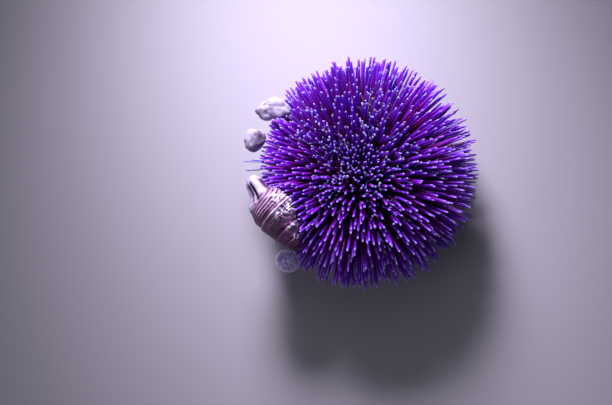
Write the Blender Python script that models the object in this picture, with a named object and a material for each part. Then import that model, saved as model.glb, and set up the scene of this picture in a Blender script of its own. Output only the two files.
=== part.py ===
# Purple sea urchin, life size, resting on its lower spines, with the cover that it carries.
# Metres, +Z up, and the floor at Z = 0. -Y is the side that faces the viewer.
# The round shell of the body, the test, is parted into its five ambulacra, which carry the
# tube feet, and its five interambulacra. Each zone is one solid with its spines.

import math
import random

import bpy
import bmesh
import numpy as np
from mathutils import Matrix, Vector
from mathutils.bvhtree import BVHTree

MM = 0.001

# Test
TEST_RADIUS = 27.0 * MM
TEST_RISE = 17.5 * MM
TEST_DROP = 10.5 * MM
RING_HEIGHT = 16.5 * MM
UNDERSIDE_FULLNESS = 0.72
CROWN_RADIUS = 5.4 * MM
MOUTH_RADIUS = 8.8 * MM
GAP = 0.3 * MM
ROW_HEIGHT = 6.5 * MM
ZONE_COLUMNS = 3

# Zones, as angles round the axis. The first ambulacrum lies under the whelk shell.
ZONES = 5
AMBULACRUM_ANGLE = math.radians(28)
INTERAMBULACRUM_ANGLE = math.radians(44)
FIRST_AMBULACRUM = math.radians(219)

# Spines
SPINE_LENGTH = 20.0 * MM
SPINE_BASE_RADIUS = 0.78 * MM
SPINE_TIP_RADIUS = 0.48 * MM
SPINE_POINT = 0.5 * MM
SPINE_SPACING = 3.0 * MM
SPINE_SIDES = 3
SPINE_SUNK = 1.6 * MM
SPINE_SPREAD = math.radians(3.5)
FAN_DROP = 2.0 * MM
LENGTH_VARIATION = 0.06
SHORTEST_SPINE = 2.2 * MM
ROW_MARGIN = 1.2 * MM
SIDE_MARGIN = 0.1 * MM
MARCH = 0.2 * MM
# Length of a spine as a share of the longest, by its place from crown to mouth in degrees
LENGTH_BY_PLACE = ((0, 0.50), (25, 0.66), (60, 0.95), (90, 1.0), (115, 0.84), (140, 0.62), (180, 0.45))
# The spines are shorter on the side that holds the cover
COVER_SIDE = math.radians(178)
COVER_SIDE_WIDTH = math.radians(50)
COVER_SIDE_LOSS = 0.24

# Tube feet
FOOT_RADIUS = 0.34 * MM
FOOT_DISC_RADIUS = 0.72 * MM
FOOT_DISC_THICKNESS = 0.45 * MM
FOOT_SIDES = 4
FOOT_ROWS = (32, 58, 84, 108)
FOOT_LENGTH_SHARE = 0.92
FOOT_ROOM = 1.35 * MM
SHORTEST_FOOT = 3.0 * MM
FOOT_GRIP = 0.1 * MM
HOLDING_FOOT_REACH = 30.0 * MM
# Place of each foot that holds a piece of the cover: degrees from crown and round, and the piece
HOLDING_FEET = (
    (66, 138, "stone_large"),
    (82, 144, "stone_large"),
    (64, 150, "stone_large"),
    (76, 158, "stone_small"),
    (92, 158, "stone_small"),
    (52, 210, "whelk"),
    (60, 219, "whelk"),
    (74, 208, "whelk"),
    (50, 228, "whelk"),
    (88, 229, "limpet"),
    (100, 225, "limpet"),
)

# Crown and mouth
CORE_MIDDLE = 18.0 * MM
CORE_SIDES = 20
CROWN_RISE = 0.6 * MM
VENT_RADIUS = 1.3 * MM
# Rings of spines on the crown: distance from the axis, count and length
CROWN_SPINES = ((4.1 * MM, 10, 9.6 * MM), (2.6 * MM, 6, 8.8 * MM))
CROWN_SPINE_RADIUS = 0.62 * MM
CROWN_SPINE_LEAN = math.radians(5)
MEMBRANE_BULGE = 0.9 * MM
TEETH = 5
TEETH_RADIUS = 2.5 * MM
TEETH_REACH = 2.6 * MM
TEETH_SOCKET = 2.4 * MM
TOOTH_EDGE = 0.35 * MM

# Cover that the urchin holds. Places are in millimetres from the middle of the widest ring.
STONE_LARGE = {
    "at": (-35.0, 25.4, 5.0),
    "half": (6.9, 3.7, 4.4),
    "turn": 20,
    "bumps": (
        ((0.35, 0.9, 0.3), 0.40),
        ((-0.35, 0.8, 0.5), -0.22),
        ((-1, -0.1, 0.3), 0.06),
        ((0, -0.5, 0.9), 0.18),
        ((0.5, -0.9, -0.2), 0.10),
        ((-0.5, -0.8, 0.1), 0.16),
    ),
}
STONE_SMALL = {
    "at": (-42.2, 13.0, 3.0),
    "half": (4.4, 5.0, 4.4),
    "turn": -14,
    "bumps": (
        ((0.7, 0.7, 0.3), 0.14),
        ((-0.6, 0.6, 0.4), 0.06),
        ((-0.2, -0.9, 0.2), 0.08),
        ((0.3, 0.1, 0.9), 0.10),
        ((0.9, -0.5, 0.1), -0.12),
    ),
}
BUMP_TIGHTNESS = 6.0
WHELK_CANAL = (-44.0, -4.4, 16.6)
WHELK_APEX = (-24.4, -34.4, 16.0)
WHELK_RADIUS = 8.1 * MM
WHELK_SIDES = 16
WHELK_RINGS = 24
# Outline of the whelk from the end of its canal to its apex: share of length, share of radius
WHELK_OUTLINE = (
    (0.0, 0.22),
    (0.06, 0.40),
    (0.20, 0.48),
    (0.32, 0.86),
    (0.46, 1.0),
    (0.58, 0.92),
    (0.80, 0.60),
    (0.93, 0.36),
    (1.0, 0.10),
)
WHORL_SHRINK = 0.52
WHORL_START = 0.45
SUTURE_DEPTH = 0.16
OPENING_DEPTH = 0.45
OPENING_AT = 0.21          # share of the way from the canal to the apex
OPENING_SIDE = math.radians(45)   # from the side that faces away from the body, turning upwards
KNOB_HEIGHT = 0.07
KNOBS_A_WHORL = 8
LIMPET_AT = (-29.0, -35.6, 0.6)
LIMPET_FACING = (-0.30, -0.45, 0.84)
LIMPET_RADIUS = 4.9 * MM
LIMPET_RISE = 2.6 * MM
LIMPET_SIDES = 14


def clear_scene():
    for obj in list(bpy.data.objects):
        bpy.data.objects.remove(obj)


def material(name, colour, roughness):
    made = bpy.data.materials.new(name)
    made.use_nodes = True
    shader = made.node_tree.nodes["Principled BSDF"]
    shader.inputs["Base Color"].default_value = (*colour, 1.0)
    shader.inputs["Roughness"].default_value = roughness
    shader.inputs["Metallic"].default_value = 0.0
    return made


def new_object(name, points, faces, look=None):
    mesh = bpy.data.meshes.new(name)
    mesh.from_pydata([tuple(p) for p in points], [], faces)
    shape = bmesh.new()
    shape.from_mesh(mesh)
    bmesh.ops.triangulate(shape, faces=shape.faces)
    bmesh.ops.recalc_face_normals(shape, faces=shape.faces)
    shape.to_mesh(mesh)
    shape.free()
    obj = bpy.data.objects.new(name, mesh)
    bpy.context.scene.collection.objects.link(obj)
    if look:
        mesh.materials.append(look)
    return obj


def profile(polar):
    # Radius and height of the test at an angle from the crown, 0 at the top and pi at the mouth
    sine, cosine = math.sin(polar), math.cos(polar)
    if cosine >= 0:
        return TEST_RADIUS * sine, RING_HEIGHT + TEST_RISE * cosine
    return TEST_RADIUS * sine**UNDERSIDE_FULLNESS, RING_HEIGHT + TEST_DROP * cosine


def polar_at_radius(radius, below):
    # The angle at which the test has this radius, above or below its widest ring
    share = radius / TEST_RADIUS
    if below:
        return math.pi - math.asin(share ** (1 / UNDERSIDE_FULLNESS))
    return math.asin(share)


CROWN_POLAR = polar_at_radius(CROWN_RADIUS + GAP / 2, below=False)
MOUTH_POLAR = polar_at_radius(MOUTH_RADIUS + GAP / 2, below=True)


def places_along_test(spacing, margin):
    # Angles from crown to mouth that lie evenly spaced on the test's outline
    fine = np.linspace(CROWN_POLAR, MOUTH_POLAR, 600)
    outline = np.array([profile(angle) for angle in fine])
    steps = np.hypot(*np.diff(outline, axis=0).T)
    travelled = np.concatenate([[0.0], np.cumsum(steps)])
    usable = travelled[-1] - 2 * margin
    count = max(2, round(usable / spacing) + 1)
    return np.interp(margin + np.linspace(0, usable, count), travelled, fine)


def point_on_test(polar, azimuth):
    radius, height = profile(polar)
    return Vector((radius * math.cos(azimuth), radius * math.sin(azimuth), height))


def outward(polar, azimuth):
    # Unit direction square to the test
    step = 1e-4
    low, high = profile(polar - step), profile(polar + step)
    across, along = high[0] - low[0], high[1] - low[1]
    flat = Vector((-along, across)).normalized()
    return Vector((flat.x * math.cos(azimuth), flat.x * math.sin(azimuth), flat.y))


def spine_direction(polar, azimuth):
    # Square to the test at the crown and mouth, and fanned out from the middle near the ring
    radial = (point_on_test(polar, azimuth) - Vector((0, 0, RING_HEIGHT - FAN_DROP))).normalized()
    return (outward(polar, azimuth) + radial * math.sin(polar) ** 2).normalized()


def spine_length(polar, azimuth):
    degrees, shares = zip(*LENGTH_BY_PLACE)
    share = float(np.interp(math.degrees(polar), degrees, shares))
    off_side = math.remainder(azimuth - COVER_SIDE, math.tau) / COVER_SIDE_WIDTH
    return SPINE_LENGTH * share * (1 - COVER_SIDE_LOSS * math.exp(-off_side**2))


def zone_list():
    # Name, start angle and end angle, in order round the body
    zones = []
    for number in range(ZONES):
        middle = FIRST_AMBULACRUM + number * math.tau / ZONES
        start, end = middle - AMBULACRUM_ANGLE / 2, middle + AMBULACRUM_ANGLE / 2
        zones.append((f"ambulacrum_{number + 1}", start, end))
        zones.append((f"interambulacrum_{number + 1}", end, end + INTERAMBULACRUM_ANGLE))
    return zones


def from_ring(place):
    # A place given in millimetres from the middle of the widest ring
    return Vector(place) * MM + Vector((0, 0, RING_HEIGHT))


def free_length(start, direction, length, radius, cover):
    # How far a straight piece may run before it comes near the cover or meets the floor
    for tree in cover.values():
        if tree.find_nearest(start)[3] > length + radius + GAP:
            continue
        travelled = 0.0
        while travelled < length and tree.find_nearest(start + direction * travelled)[3] > radius + GAP:
            travelled += MARCH
        length = min(length, travelled - MARCH)
    if direction.z < 0:
        length = min(length, start.z / -direction.z)
    return length


def side_angle(edge, radius, inwards):
    # A zone's side keeps half a gap from the plane between it and the next zone
    return edge + inwards * math.asin(GAP / 2 / radius)


def test_zone(name, start, end, look):
    # The zone's part of the test, solid from its outer face to the core
    points, faces = [], []
    rows = places_along_test(ROW_HEIGHT, 0.0)
    for polar in rows:
        radius, height = profile(polar)
        left, right = side_angle(start, radius, 1), side_angle(end, radius, -1)
        for column in range(ZONE_COLUMNS + 1):
            azimuth = left + (right - left) * column / ZONE_COLUMNS
            points.append((radius * math.cos(azimuth), radius * math.sin(azimuth), height))
    width, count = ZONE_COLUMNS + 1, len(rows)
    for row in range(count):
        after = (row + 1) % count
        for column in range(ZONE_COLUMNS):
            corner, below = row * width + column, after * width + column
            faces.append((corner, below, below + 1, corner + 1))
    faces.append([row * width for row in range(count)])
    faces.append([row * width + ZONE_COLUMNS for row in reversed(range(count))])
    return new_object(name, points, faces, look)


def rod(start, direction, rings, sides, twist, flat_end):
    # A straight tapered piece. Rings are distances along it and radii. Its end is a point, or is
    # cut level with the floor.
    side = direction.orthogonal().normalized()
    front = direction.cross(side)
    points, faces = [], []
    for index, (distance, radius) in enumerate(rings):
        for step in range(sides):
            angle = twist + step * math.tau / sides
            place = start + direction * distance + (side * math.cos(angle) + front * math.sin(angle)) * radius
            if flat_end and index == len(rings) - 1:
                place -= direction * (place.z / direction.z)
            points.append(place)
    faces.append(list(reversed(range(sides))))
    for ring in range(len(rings) - 1):
        for step in range(sides):
            after, low = (step + 1) % sides, ring * sides
            faces.append((low + step, low + after, low + sides + after, low + sides + step))
    last = (len(rings) - 1) * sides
    if flat_end:
        faces.append([last + step for step in range(sides)])
    else:
        points.append(start + direction * (rings[-1][0] + SPINE_POINT))
        faces += [(last + step, last + (step + 1) % sides, len(points) - 1) for step in range(sides)]
    return new_object("rod", points, faces)


def kept_in_zone(root, direction, length, tip_radius, start, end):
    # Leans a straight piece inwards so that its tip stays on its own side of both zone edges
    tip = root + direction * length
    for edge, inwards in ((start, 1), (end, -1)):
        inward = Vector((-math.sin(edge), math.cos(edge), 0)) * inwards
        short = tip_radius + GAP / 2 + SIDE_MARGIN - tip.dot(inward)
        if short > 0:
            tip += inward * short
    return (tip - root).normalized()


def distance_between(first, second):
    # Least distance between two straight pieces, each a start and an end
    steps = np.linspace(0, 1, 12)[:, None]
    one, other = (np.array(start) * (1 - steps) + np.array(end) * steps for start, end in (first, second))
    apart = one[:, None] - other[None]
    return float(np.sqrt((apart**2).sum(axis=2)).min())


def spine_places(start, end):
    # Roots in staggered rows from crown to mouth
    for row, polar in enumerate(places_along_test(SPINE_SPACING, ROW_MARGIN)):
        radius = profile(polar)[0]
        margin = math.asin((SPINE_BASE_RADIUS + GAP / 2 + SIDE_MARGIN) / radius)
        room = end - start - 2 * margin
        count = int(room * radius / SPINE_SPACING) + 1
        step = room / max(count - 1, 1)
        staggered = row % 2 and count > 1
        for column in range(count - staggered):
            azimuth = start + margin + step * (column + staggered / 2)
            if count == 1:
                azimuth = (start + end) / 2
            yield polar, azimuth


def zone_spines(start, end, cover, feet, dice):
    pieces = []
    for polar, azimuth in spine_places(start, end):
        root = point_on_test(polar, azimuth)
        lean = Vector([dice.gauss(0, SPINE_SPREAD) for _ in range(3)])
        direction = (spine_direction(polar, azimuth) + lean).normalized()
        length = spine_length(polar, azimuth) * (1 + dice.uniform(-1, 1) * LENGTH_VARIATION)
        direction = kept_in_zone(root, direction, length, SPINE_TIP_RADIUS, start, end)
        allowed = free_length(root, direction, length, SPINE_TIP_RADIUS, cover)
        on_floor = direction.z < 0 and root.z / -direction.z <= allowed
        if not on_floor:
            allowed -= SPINE_POINT
        path = (root, root + direction * allowed)
        crowded = any(distance_between(path, line) < FOOT_ROOM for line in feet)
        if allowed < SHORTEST_SPINE or crowded:
            continue
        rings = ((-SPINE_SUNK, SPINE_BASE_RADIUS), (allowed, SPINE_TIP_RADIUS))
        pieces.append(rod(root, direction, rings, SPINE_SIDES, dice.uniform(0, math.tau), on_floor))
    return pieces


def foot(root, direction, length):
    rings = (
        (-SPINE_SUNK, FOOT_RADIUS),
        (length - 2 * FOOT_DISC_THICKNESS, FOOT_RADIUS),
        (length - FOOT_DISC_THICKNESS, FOOT_DISC_RADIUS),
        (length, FOOT_DISC_RADIUS),
    )
    return rod(root, direction, rings, FOOT_SIDES, 0.0, False)


def zone_feet(start, end, cover):
    # Two columns of tube feet, and those that reach for a piece of the cover. Gives the pieces
    # and the straight lines that they take up.
    places, middle = [], (start + end) / 2
    for polar, azimuth, piece in HOLDING_FEET:
        azimuth = middle + math.remainder(math.radians(azimuth) - middle, math.tau)
        if start < azimuth < end:
            root = point_on_test(math.radians(polar), azimuth)
            aim = (cover[piece].find_nearest(root)[0] - root).normalized()
            places.append((root, aim, HOLDING_FOOT_REACH, FOOT_GRIP))
    held = len(places)
    for row in FOOT_ROWS:
        polar = math.radians(row)
        margin = math.asin((FOOT_DISC_RADIUS + GAP / 2 + SIDE_MARGIN) / profile(polar)[0])
        for azimuth in (start + margin, end - margin):
            length = spine_length(polar, azimuth) * FOOT_LENGTH_SHARE
            aim = spine_direction(polar, azimuth)
            places.append((point_on_test(polar, azimuth), aim, length, FOOT_DISC_RADIUS))
    pieces, lines = [], []
    for number, (root, aim, reach, room) in enumerate(places):
        direction = kept_in_zone(root, aim, reach, FOOT_DISC_RADIUS, start, end)
        length = free_length(root, direction, reach, room, cover)
        missed = number < held and length == reach
        length -= SPINE_POINT
        line = (root, root + direction * length)
        crowded = any(distance_between(line, taken) < FOOT_ROOM for taken in lines)
        if missed or crowded or length < SHORTEST_FOOT:
            print("left out a tube foot that", "misses" if missed else "has no room", number)
            continue
        pieces.append(foot(root, direction, length))
        lines.append(line)
    return pieces, lines


def fuse(body, pieces):
    # Joins the pieces to the body and keeps the largest closed surface
    group = bpy.data.collections.new("pieces")
    for piece in pieces:
        bpy.context.scene.collection.objects.unlink(piece)
        group.objects.link(piece)
    union = body.modifiers.new("union", "BOOLEAN")
    union.operation = "UNION"
    union.solver = "EXACT"
    union.operand_type = "COLLECTION"
    union.collection = group
    fused = bpy.data.meshes.new_from_object(body.evaluated_get(bpy.context.evaluated_depsgraph_get()))
    body.modifiers.remove(union)
    body.data = fused
    for piece in pieces:
        bpy.data.objects.remove(piece)
    bpy.data.collections.remove(group)
    keep_largest(body.data)


def keep_largest(mesh):
    shape = bmesh.new()
    shape.from_mesh(mesh)
    unseen, surfaces = set(shape.verts), []
    while unseen:
        surface, edge = set(), [unseen.pop()]
        while edge:
            vert = edge.pop()
            surface.add(vert)
            near = [link.other_vert(vert) for link in vert.link_edges]
            edge += [other for other in near if other in unseen]
            unseen.difference_update(near)
        surfaces.append(surface)
    surfaces.sort(key=len)
    scraps = [vert for surface in surfaces[:-1] for vert in surface]
    bmesh.ops.delete(shape, geom=scraps, context="VERTS")
    bmesh.ops.triangulate(shape, faces=shape.faces)
    shape.to_mesh(mesh)
    shape.free()


def zone(name, start, end, look, cover, seed):
    dice = random.Random(seed)
    body = test_zone(name, start, end, look)
    feet, lines = [], []
    if name.startswith("ambulacrum"):
        feet, lines = zone_feet(start, end, cover)
    spines = zone_spines(start, end, cover, lines, dice)
    fuse(body, spines + feet)
    print(name, len(spines), "spines", len(feet), "tube feet", len(body.data.polygons), "triangles")


def turned(name, outline, sides, look):
    # A solid turned about the Z axis. The outline runs from the axis at the top to the axis below.
    points, faces = [], []
    rings = []
    for radius, height in outline:
        if radius == 0:
            rings.append([len(points)])
            points.append((0, 0, height))
            continue
        rings.append(list(range(len(points), len(points) + sides)))
        for side in range(sides):
            angle = side * math.tau / sides
            points.append((radius * math.cos(angle), radius * math.sin(angle), height))
    for upper, lower in zip(rings, rings[1:]):
        for side in range(sides):
            after = (side + 1) % sides
            ring = [upper[side % len(upper)], lower[side % len(lower)]]
            if len(lower) > 1:
                ring.append(lower[after])
            if len(upper) > 1:
                ring.append(upper[after])
            faces.append(ring)
    return new_object(name, points, faces, look)


def core_radius(height):
    # The core between the zones narrows evenly from the mouth up to the crown
    top_height, bottom_height = profile(CROWN_POLAR)[1], profile(MOUTH_POLAR)[1]
    share = (top_height - height) / (top_height - bottom_height)
    return CROWN_RADIUS + (MOUTH_RADIUS - CROWN_RADIUS) * share - GAP / 2


def crown(look):
    # The plates round the vent, with their own shorter spines
    rim = profile(CROWN_POLAR)[1]
    top = rim + CROWN_RISE
    outline = [
        (0, top),
        (VENT_RADIUS, top),
        (core_radius(rim), rim),
        (core_radius(CORE_MIDDLE), CORE_MIDDLE + GAP / 2),
        (0, CORE_MIDDLE + GAP / 2),
    ]
    body = turned("crown", outline, CORE_SIDES, look)
    dice = random.Random("crown")
    spines = []
    for radius, count, length in CROWN_SPINES:
        for step in range(count):
            azimuth = math.tau * (step + dice.uniform(-0.12, 0.12)) / count
            away = Vector((math.cos(azimuth), math.sin(azimuth), 0))
            direction = (Vector((0, 0, 1)) + away * CROWN_SPINE_LEAN).normalized()
            reach = length * (1 + dice.uniform(-1, 1) * LENGTH_VARIATION)
            rings = ((-SPINE_SUNK, CROWN_SPINE_RADIUS), (reach, SPINE_TIP_RADIUS))
            root = away * radius + Vector((0, 0, rim))
            spines.append(rod(root, direction, rings, SPINE_SIDES, dice.uniform(0, math.tau), False))
    fuse(body, spines)


def mouth(look):
    rim = profile(MOUTH_POLAR)[1]
    outline = [
        (0, CORE_MIDDLE - GAP / 2),
        (core_radius(CORE_MIDDLE), CORE_MIDDLE - GAP / 2),
        (core_radius(rim), rim),
        (core_radius(rim) * 0.62, rim - MEMBRANE_BULGE),
        (TEETH_RADIUS + GAP, rim - MEMBRANE_BULGE * 0.7),
        (TEETH_RADIUS + GAP, rim + TEETH_SOCKET),
        (0, rim + TEETH_SOCKET),
    ]
    return turned("mouth_membrane", outline, CORE_SIDES, look)


def tooth(number, look):
    # One of five chisels that close to a point below the mouth
    rim = profile(MOUTH_POLAR)[1]
    top, shoulder, tip = rim + TEETH_SOCKET - GAP, rim - MEMBRANE_BULGE, rim - TEETH_REACH
    middle = math.radians(36) + number * math.tau / TEETH
    half = math.pi / TEETH
    levels = ((top, TEETH_RADIUS), (shoulder, TEETH_RADIUS * 0.85), (tip, TEETH_RADIUS * 0.32))
    points = []
    for height, radius in levels:
        for angle, distance in ((0, TOOTH_EDGE), (-1, radius), (0, radius), (1, radius)):
            spread = half - GAP / 2 / distance if angle else 0
            azimuth = middle + angle * spread
            points.append((distance * math.cos(azimuth), distance * math.sin(azimuth), height))
    faces = [(3, 2, 1, 0), (8, 9, 10, 11)]
    for level in range(len(levels) - 1):
        for side in range(4):
            after = (side + 1) % 4
            corner = level * 4
            faces.append((corner + side, corner + after, corner + 4 + after, corner + 4 + side))
    return new_object(f"tooth_{number + 1}", points, faces, look)


def stone(name, sizes, look):
    # A rounded stone with its own bumps and hollows, each a direction and a height
    shape = bmesh.new()
    bmesh.ops.create_icosphere(shape, subdivisions=3, radius=1.0)
    turn = Matrix.Rotation(math.radians(sizes["turn"]), 3, "Z")
    half, centre = Vector(sizes["half"]) * MM, from_ring(sizes["at"])
    for vert in shape.verts:
        direction = vert.co.normalized()
        reach = 1.0
        for toward, height in sizes["bumps"]:
            reach += height * math.exp(-BUMP_TIGHTNESS * (1 - direction.dot(Vector(toward).normalized())))
        vert.co = centre + turn @ Vector(a * b * reach for a, b in zip(direction, half))
    mesh = bpy.data.meshes.new(name)
    shape.to_mesh(mesh)
    shape.free()
    obj = bpy.data.objects.new(name, mesh)
    bpy.context.scene.collection.objects.link(obj)
    mesh.materials.append(look)
    return obj


def whelk_radius(share, turn):
    # The whorls wind to the right round the outline, each smaller than the one before, with a
    # groove between them, a row of knobs on each, and the long opening beside the canal
    outline = float(np.interp(share, *zip(*WHELK_OUTLINE)))
    whorls = math.log(max(1 - share, 1e-3) / WHORL_START) / math.log(WHORL_SHRINK) + turn / math.tau
    within = whorls - math.floor(whorls)
    on_spire = min(1.0, max(0.0, (share - 0.36) / 0.12))
    groove = SUTURE_DEPTH * on_spire * math.exp(-(min(within, 1 - within) / 0.13) ** 2)
    knobs = KNOB_HEIGHT * on_spire * math.exp(-((within - 0.35) / 0.16) ** 2) * math.cos(KNOBS_A_WHORL * turn)
    off = math.remainder(turn - OPENING_SIDE, math.tau)
    opening = math.exp(-(off / 0.36) ** 2) * math.exp(-((share - OPENING_AT) / 0.10) ** 2)
    return WHELK_RADIUS * outline * (1 - groove - OPENING_DEPTH * opening + knobs)


def whelk(look):
    canal, apex = from_ring(WHELK_CANAL), from_ring(WHELK_APEX)
    along = (apex - canal).normalized()
    side = along.cross(Vector((0, 0, 1))).normalized()
    front = side.cross(along)
    points, faces = [canal], []
    for ring in range(WHELK_RINGS):
        share = (ring + 0.5) / WHELK_RINGS
        for step in range(WHELK_SIDES):
            turn = step * math.tau / WHELK_SIDES
            spoke = side * math.cos(turn) + front * math.sin(turn)
            points.append(canal.lerp(apex, share) + spoke * whelk_radius(share, turn))
    points.append(apex)
    for step in range(WHELK_SIDES):
        after = (step + 1) % WHELK_SIDES
        faces.append((0, 1 + after, 1 + step))
        for ring in range(WHELK_RINGS - 1):
            low, high = 1 + ring * WHELK_SIDES, 1 + (ring + 1) * WHELK_SIDES
            faces.append((low + step, low + after, high + after, high + step))
        last = 1 + (WHELK_RINGS - 1) * WHELK_SIDES
        faces.append((last + step, last + after, len(points) - 1))
    return new_object("cover_whelk_shell", points, faces, look)


def limpet(look):
    # A low domed shell with a thick rim and a hollow underside
    outer = ((0.0, 1.0), (0.45, 0.86), (0.80, 0.50), (1.0, 0.05))
    inner = ((0.93, 0.0), (0.72, 0.22), (0.40, 0.48), (0.0, 0.6))
    outline = [(radius * LIMPET_RADIUS, height * LIMPET_RISE) for radius, height in outer + inner]
    obj = turned("cover_limpet_shell", outline, LIMPET_SIDES, look)
    turn = Vector(LIMPET_FACING).to_track_quat("Z", "Y").to_matrix().to_4x4()
    obj.data.transform(Matrix.Translation(from_ring(LIMPET_AT)) @ turn)
    return obj


def surface_of(obj):
    return BVHTree.FromPolygons([v.co for v in obj.data.vertices], [p.vertices for p in obj.data.polygons])


def centre_on_floor():
    # The origin is the middle of the whole object's box, at floor level
    corners = [vert.co for obj in bpy.context.scene.objects for vert in obj.data.vertices]
    middle = [(min(c[i] for c in corners) + max(c[i] for c in corners)) / 2 for i in (0, 1)]
    shift = Matrix.Translation((-middle[0], -middle[1], 0))
    for obj in bpy.context.scene.objects:
        obj.data.transform(shift)
    print("axis of the test at", [round(-value * 1000, 3) for value in middle], "mm")


def build():
    clear_scene()
    violet = material("violet_spines", (0.17, 0.03, 0.42), 0.4)
    plates = material("crown_plates", (0.10, 0.02, 0.16), 0.5)
    membrane = material("mouth_membrane", (0.16, 0.06, 0.16), 0.6)
    enamel = material("teeth", (0.85, 0.82, 0.74), 0.35)
    pale_stone = material("pale_stone", (0.72, 0.66, 0.70), 0.8)
    whelk_look = material("whelk_shell", (0.36, 0.18, 0.26), 0.6)
    limpet_look = material("limpet_shell", (0.45, 0.40, 0.55), 0.5)
    cover = {
        "stone_large": surface_of(stone("cover_stone_large", STONE_LARGE, pale_stone)),
        "stone_small": surface_of(stone("cover_stone_small", STONE_SMALL, pale_stone)),
        "whelk": surface_of(whelk(whelk_look)),
        "limpet": surface_of(limpet(limpet_look)),
    }
    for seed, (name, start, end) in enumerate(zone_list()):
        zone(name, start, end, violet, cover, seed)
    crown(plates)
    mouth(membrane)
    for number in range(TEETH):
        tooth(number, enamel)
    centre_on_floor()


build()
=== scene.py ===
# Purple sea urchin with the stones and shells that it holds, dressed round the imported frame.
import math
from functools import partial

import bpy
import bmesh
import numpy as np
from mathutils import Matrix, Vector, noise
from mathutils.bvhtree import BVHTree
from mathutils.kdtree import KDTree


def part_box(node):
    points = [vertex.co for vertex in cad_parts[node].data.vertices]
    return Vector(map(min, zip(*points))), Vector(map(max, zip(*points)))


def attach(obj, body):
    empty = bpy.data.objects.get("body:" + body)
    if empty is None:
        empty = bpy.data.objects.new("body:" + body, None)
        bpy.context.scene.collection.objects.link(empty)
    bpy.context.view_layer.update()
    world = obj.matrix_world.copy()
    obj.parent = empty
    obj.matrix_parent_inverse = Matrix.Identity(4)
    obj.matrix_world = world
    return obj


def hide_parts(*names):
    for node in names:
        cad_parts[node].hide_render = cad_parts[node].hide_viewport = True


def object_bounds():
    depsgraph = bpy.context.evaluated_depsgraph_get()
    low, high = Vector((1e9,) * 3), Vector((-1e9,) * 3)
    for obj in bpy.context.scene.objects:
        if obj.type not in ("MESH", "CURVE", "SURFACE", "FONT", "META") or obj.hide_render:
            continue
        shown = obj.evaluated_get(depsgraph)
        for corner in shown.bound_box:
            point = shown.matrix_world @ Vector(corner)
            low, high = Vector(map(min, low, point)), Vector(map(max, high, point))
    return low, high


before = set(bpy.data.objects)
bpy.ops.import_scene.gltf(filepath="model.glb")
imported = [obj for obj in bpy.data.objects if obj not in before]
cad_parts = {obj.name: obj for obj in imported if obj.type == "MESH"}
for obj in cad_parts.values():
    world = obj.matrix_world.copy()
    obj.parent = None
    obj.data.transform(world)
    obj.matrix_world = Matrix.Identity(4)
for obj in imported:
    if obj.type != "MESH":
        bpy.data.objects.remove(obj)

cadLow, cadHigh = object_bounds()
mm = 0.001
print("frame loaded, CAD box", [round(v * 1000, 1) for v in cadHigh - cadLow], "mm")

# The body's round shell, the same form as the solids have
test = {
    "radius": 27.0 * mm,
    "rise": 17.5 * mm,
    "drop": 10.5 * mm,
    "ring": 16.5 * mm,      # height of the widest ring
    "fullness": 0.72,
    "crown": 5.55 * mm,
    "mouth": 8.95 * mm,
    "zones": 5,
    "firstAmbulacrum": 219,
    "ambulacrumAngle": 28,
    "fanDrop": 2.0 * mm,    # the spines fan out from a point this far below the ring's middle
    "patch": 0.003,         # size of a spine's patch on the unwrap
    "unwrapHalf": 0.47,     # how far each unwrap reaches from the middle of its map
}
mouthLow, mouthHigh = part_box("mouth_membrane")
axis = np.array([(mouthLow[0] + mouthHigh[0]) / 2, (mouthLow[1] + mouthHigh[1]) / 2])
middle = Vector((axis[0], axis[1], test["ring"]))
zoneTurn = 360 / test["zones"]


def unit(v):
    return v / np.maximum(np.linalg.norm(v, axis=-1, keepdims=True), 1e-12)


def bell(off, width, power=2):
    # 1 where off is 0, falling to nothing beyond the width
    return np.exp(-((off / width) ** power))


def fadeIn(value, over):
    # Rises from 0 to 1 while the value goes from 0 to over
    return np.clip(value / over, 0, 1)


def outline(polar):
    # Radius and height of the test, from 0 at the crown to pi at the mouth
    sine, cosine = np.sin(polar), np.cos(polar)
    upper = cosine >= 0
    radius = test["radius"] * np.where(upper, sine, np.maximum(sine, 0) ** test["fullness"])
    height = test["ring"] + np.where(upper, test["rise"], test["drop"]) * cosine
    return radius, height


crownPolar = math.asin(test["crown"] / test["radius"])
mouthPolar = math.pi - math.asin((test["mouth"] / test["radius"]) ** (1 / test["fullness"]))
finePolar = np.linspace(0, math.pi, 4000)
fineRadius, fineHeight = outline(finePolar)
fineTravel = np.concatenate([[0], np.cumsum(np.hypot(np.diff(fineRadius), np.diff(fineHeight)))])


def travelAt(polar):
    # The way along the test from the middle of its crown
    return np.interp(polar, finePolar, fineTravel)


def polarAt(travel):
    return np.interp(travel, fineTravel, finePolar)


crownTravel, mouthTravel = travelAt((crownPolar, mouthPolar))


def aroundAxis(radius, azimuth, height):
    return np.stack([axis[0] + radius * np.cos(azimuth), axis[1] + radius * np.sin(azimuth), height], -1)


def bearing(azimuth):
    # Level directions, away from the axis and across that
    way = np.array([math.cos(azimuth), math.sin(azimuth), 0])
    return way, np.array([-way[1], way[0], 0])


def onTest(polar, azimuth):
    # Places on the test and the directions square to it
    polar, azimuth = np.broadcast_arrays(np.asarray(polar, float), np.asarray(azimuth, float))
    gap = 1e-4
    (nearRadius, nearHeight), (farRadius, farHeight) = outline(polar - gap), outline(polar + gap)
    out, up = nearHeight - farHeight, farRadius - nearRadius
    size = np.hypot(out, up)
    square = np.stack([out / size * np.cos(azimuth), out / size * np.sin(azimuth), up / size], -1)
    radius, height = outline(polar)
    return aroundAxis(radius, azimuth, height), square


def fanned(polar, azimuth):
    # Spines stand square to the test at the crown and mouth, and fan out near the ring
    place, square = onTest(polar, azimuth)
    radial = unit(place - np.array([*axis, test["ring"] - test["fanDrop"]]))
    return place, unit(square + radial * np.sin(np.asarray(polar))[..., None] ** 2)


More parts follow.
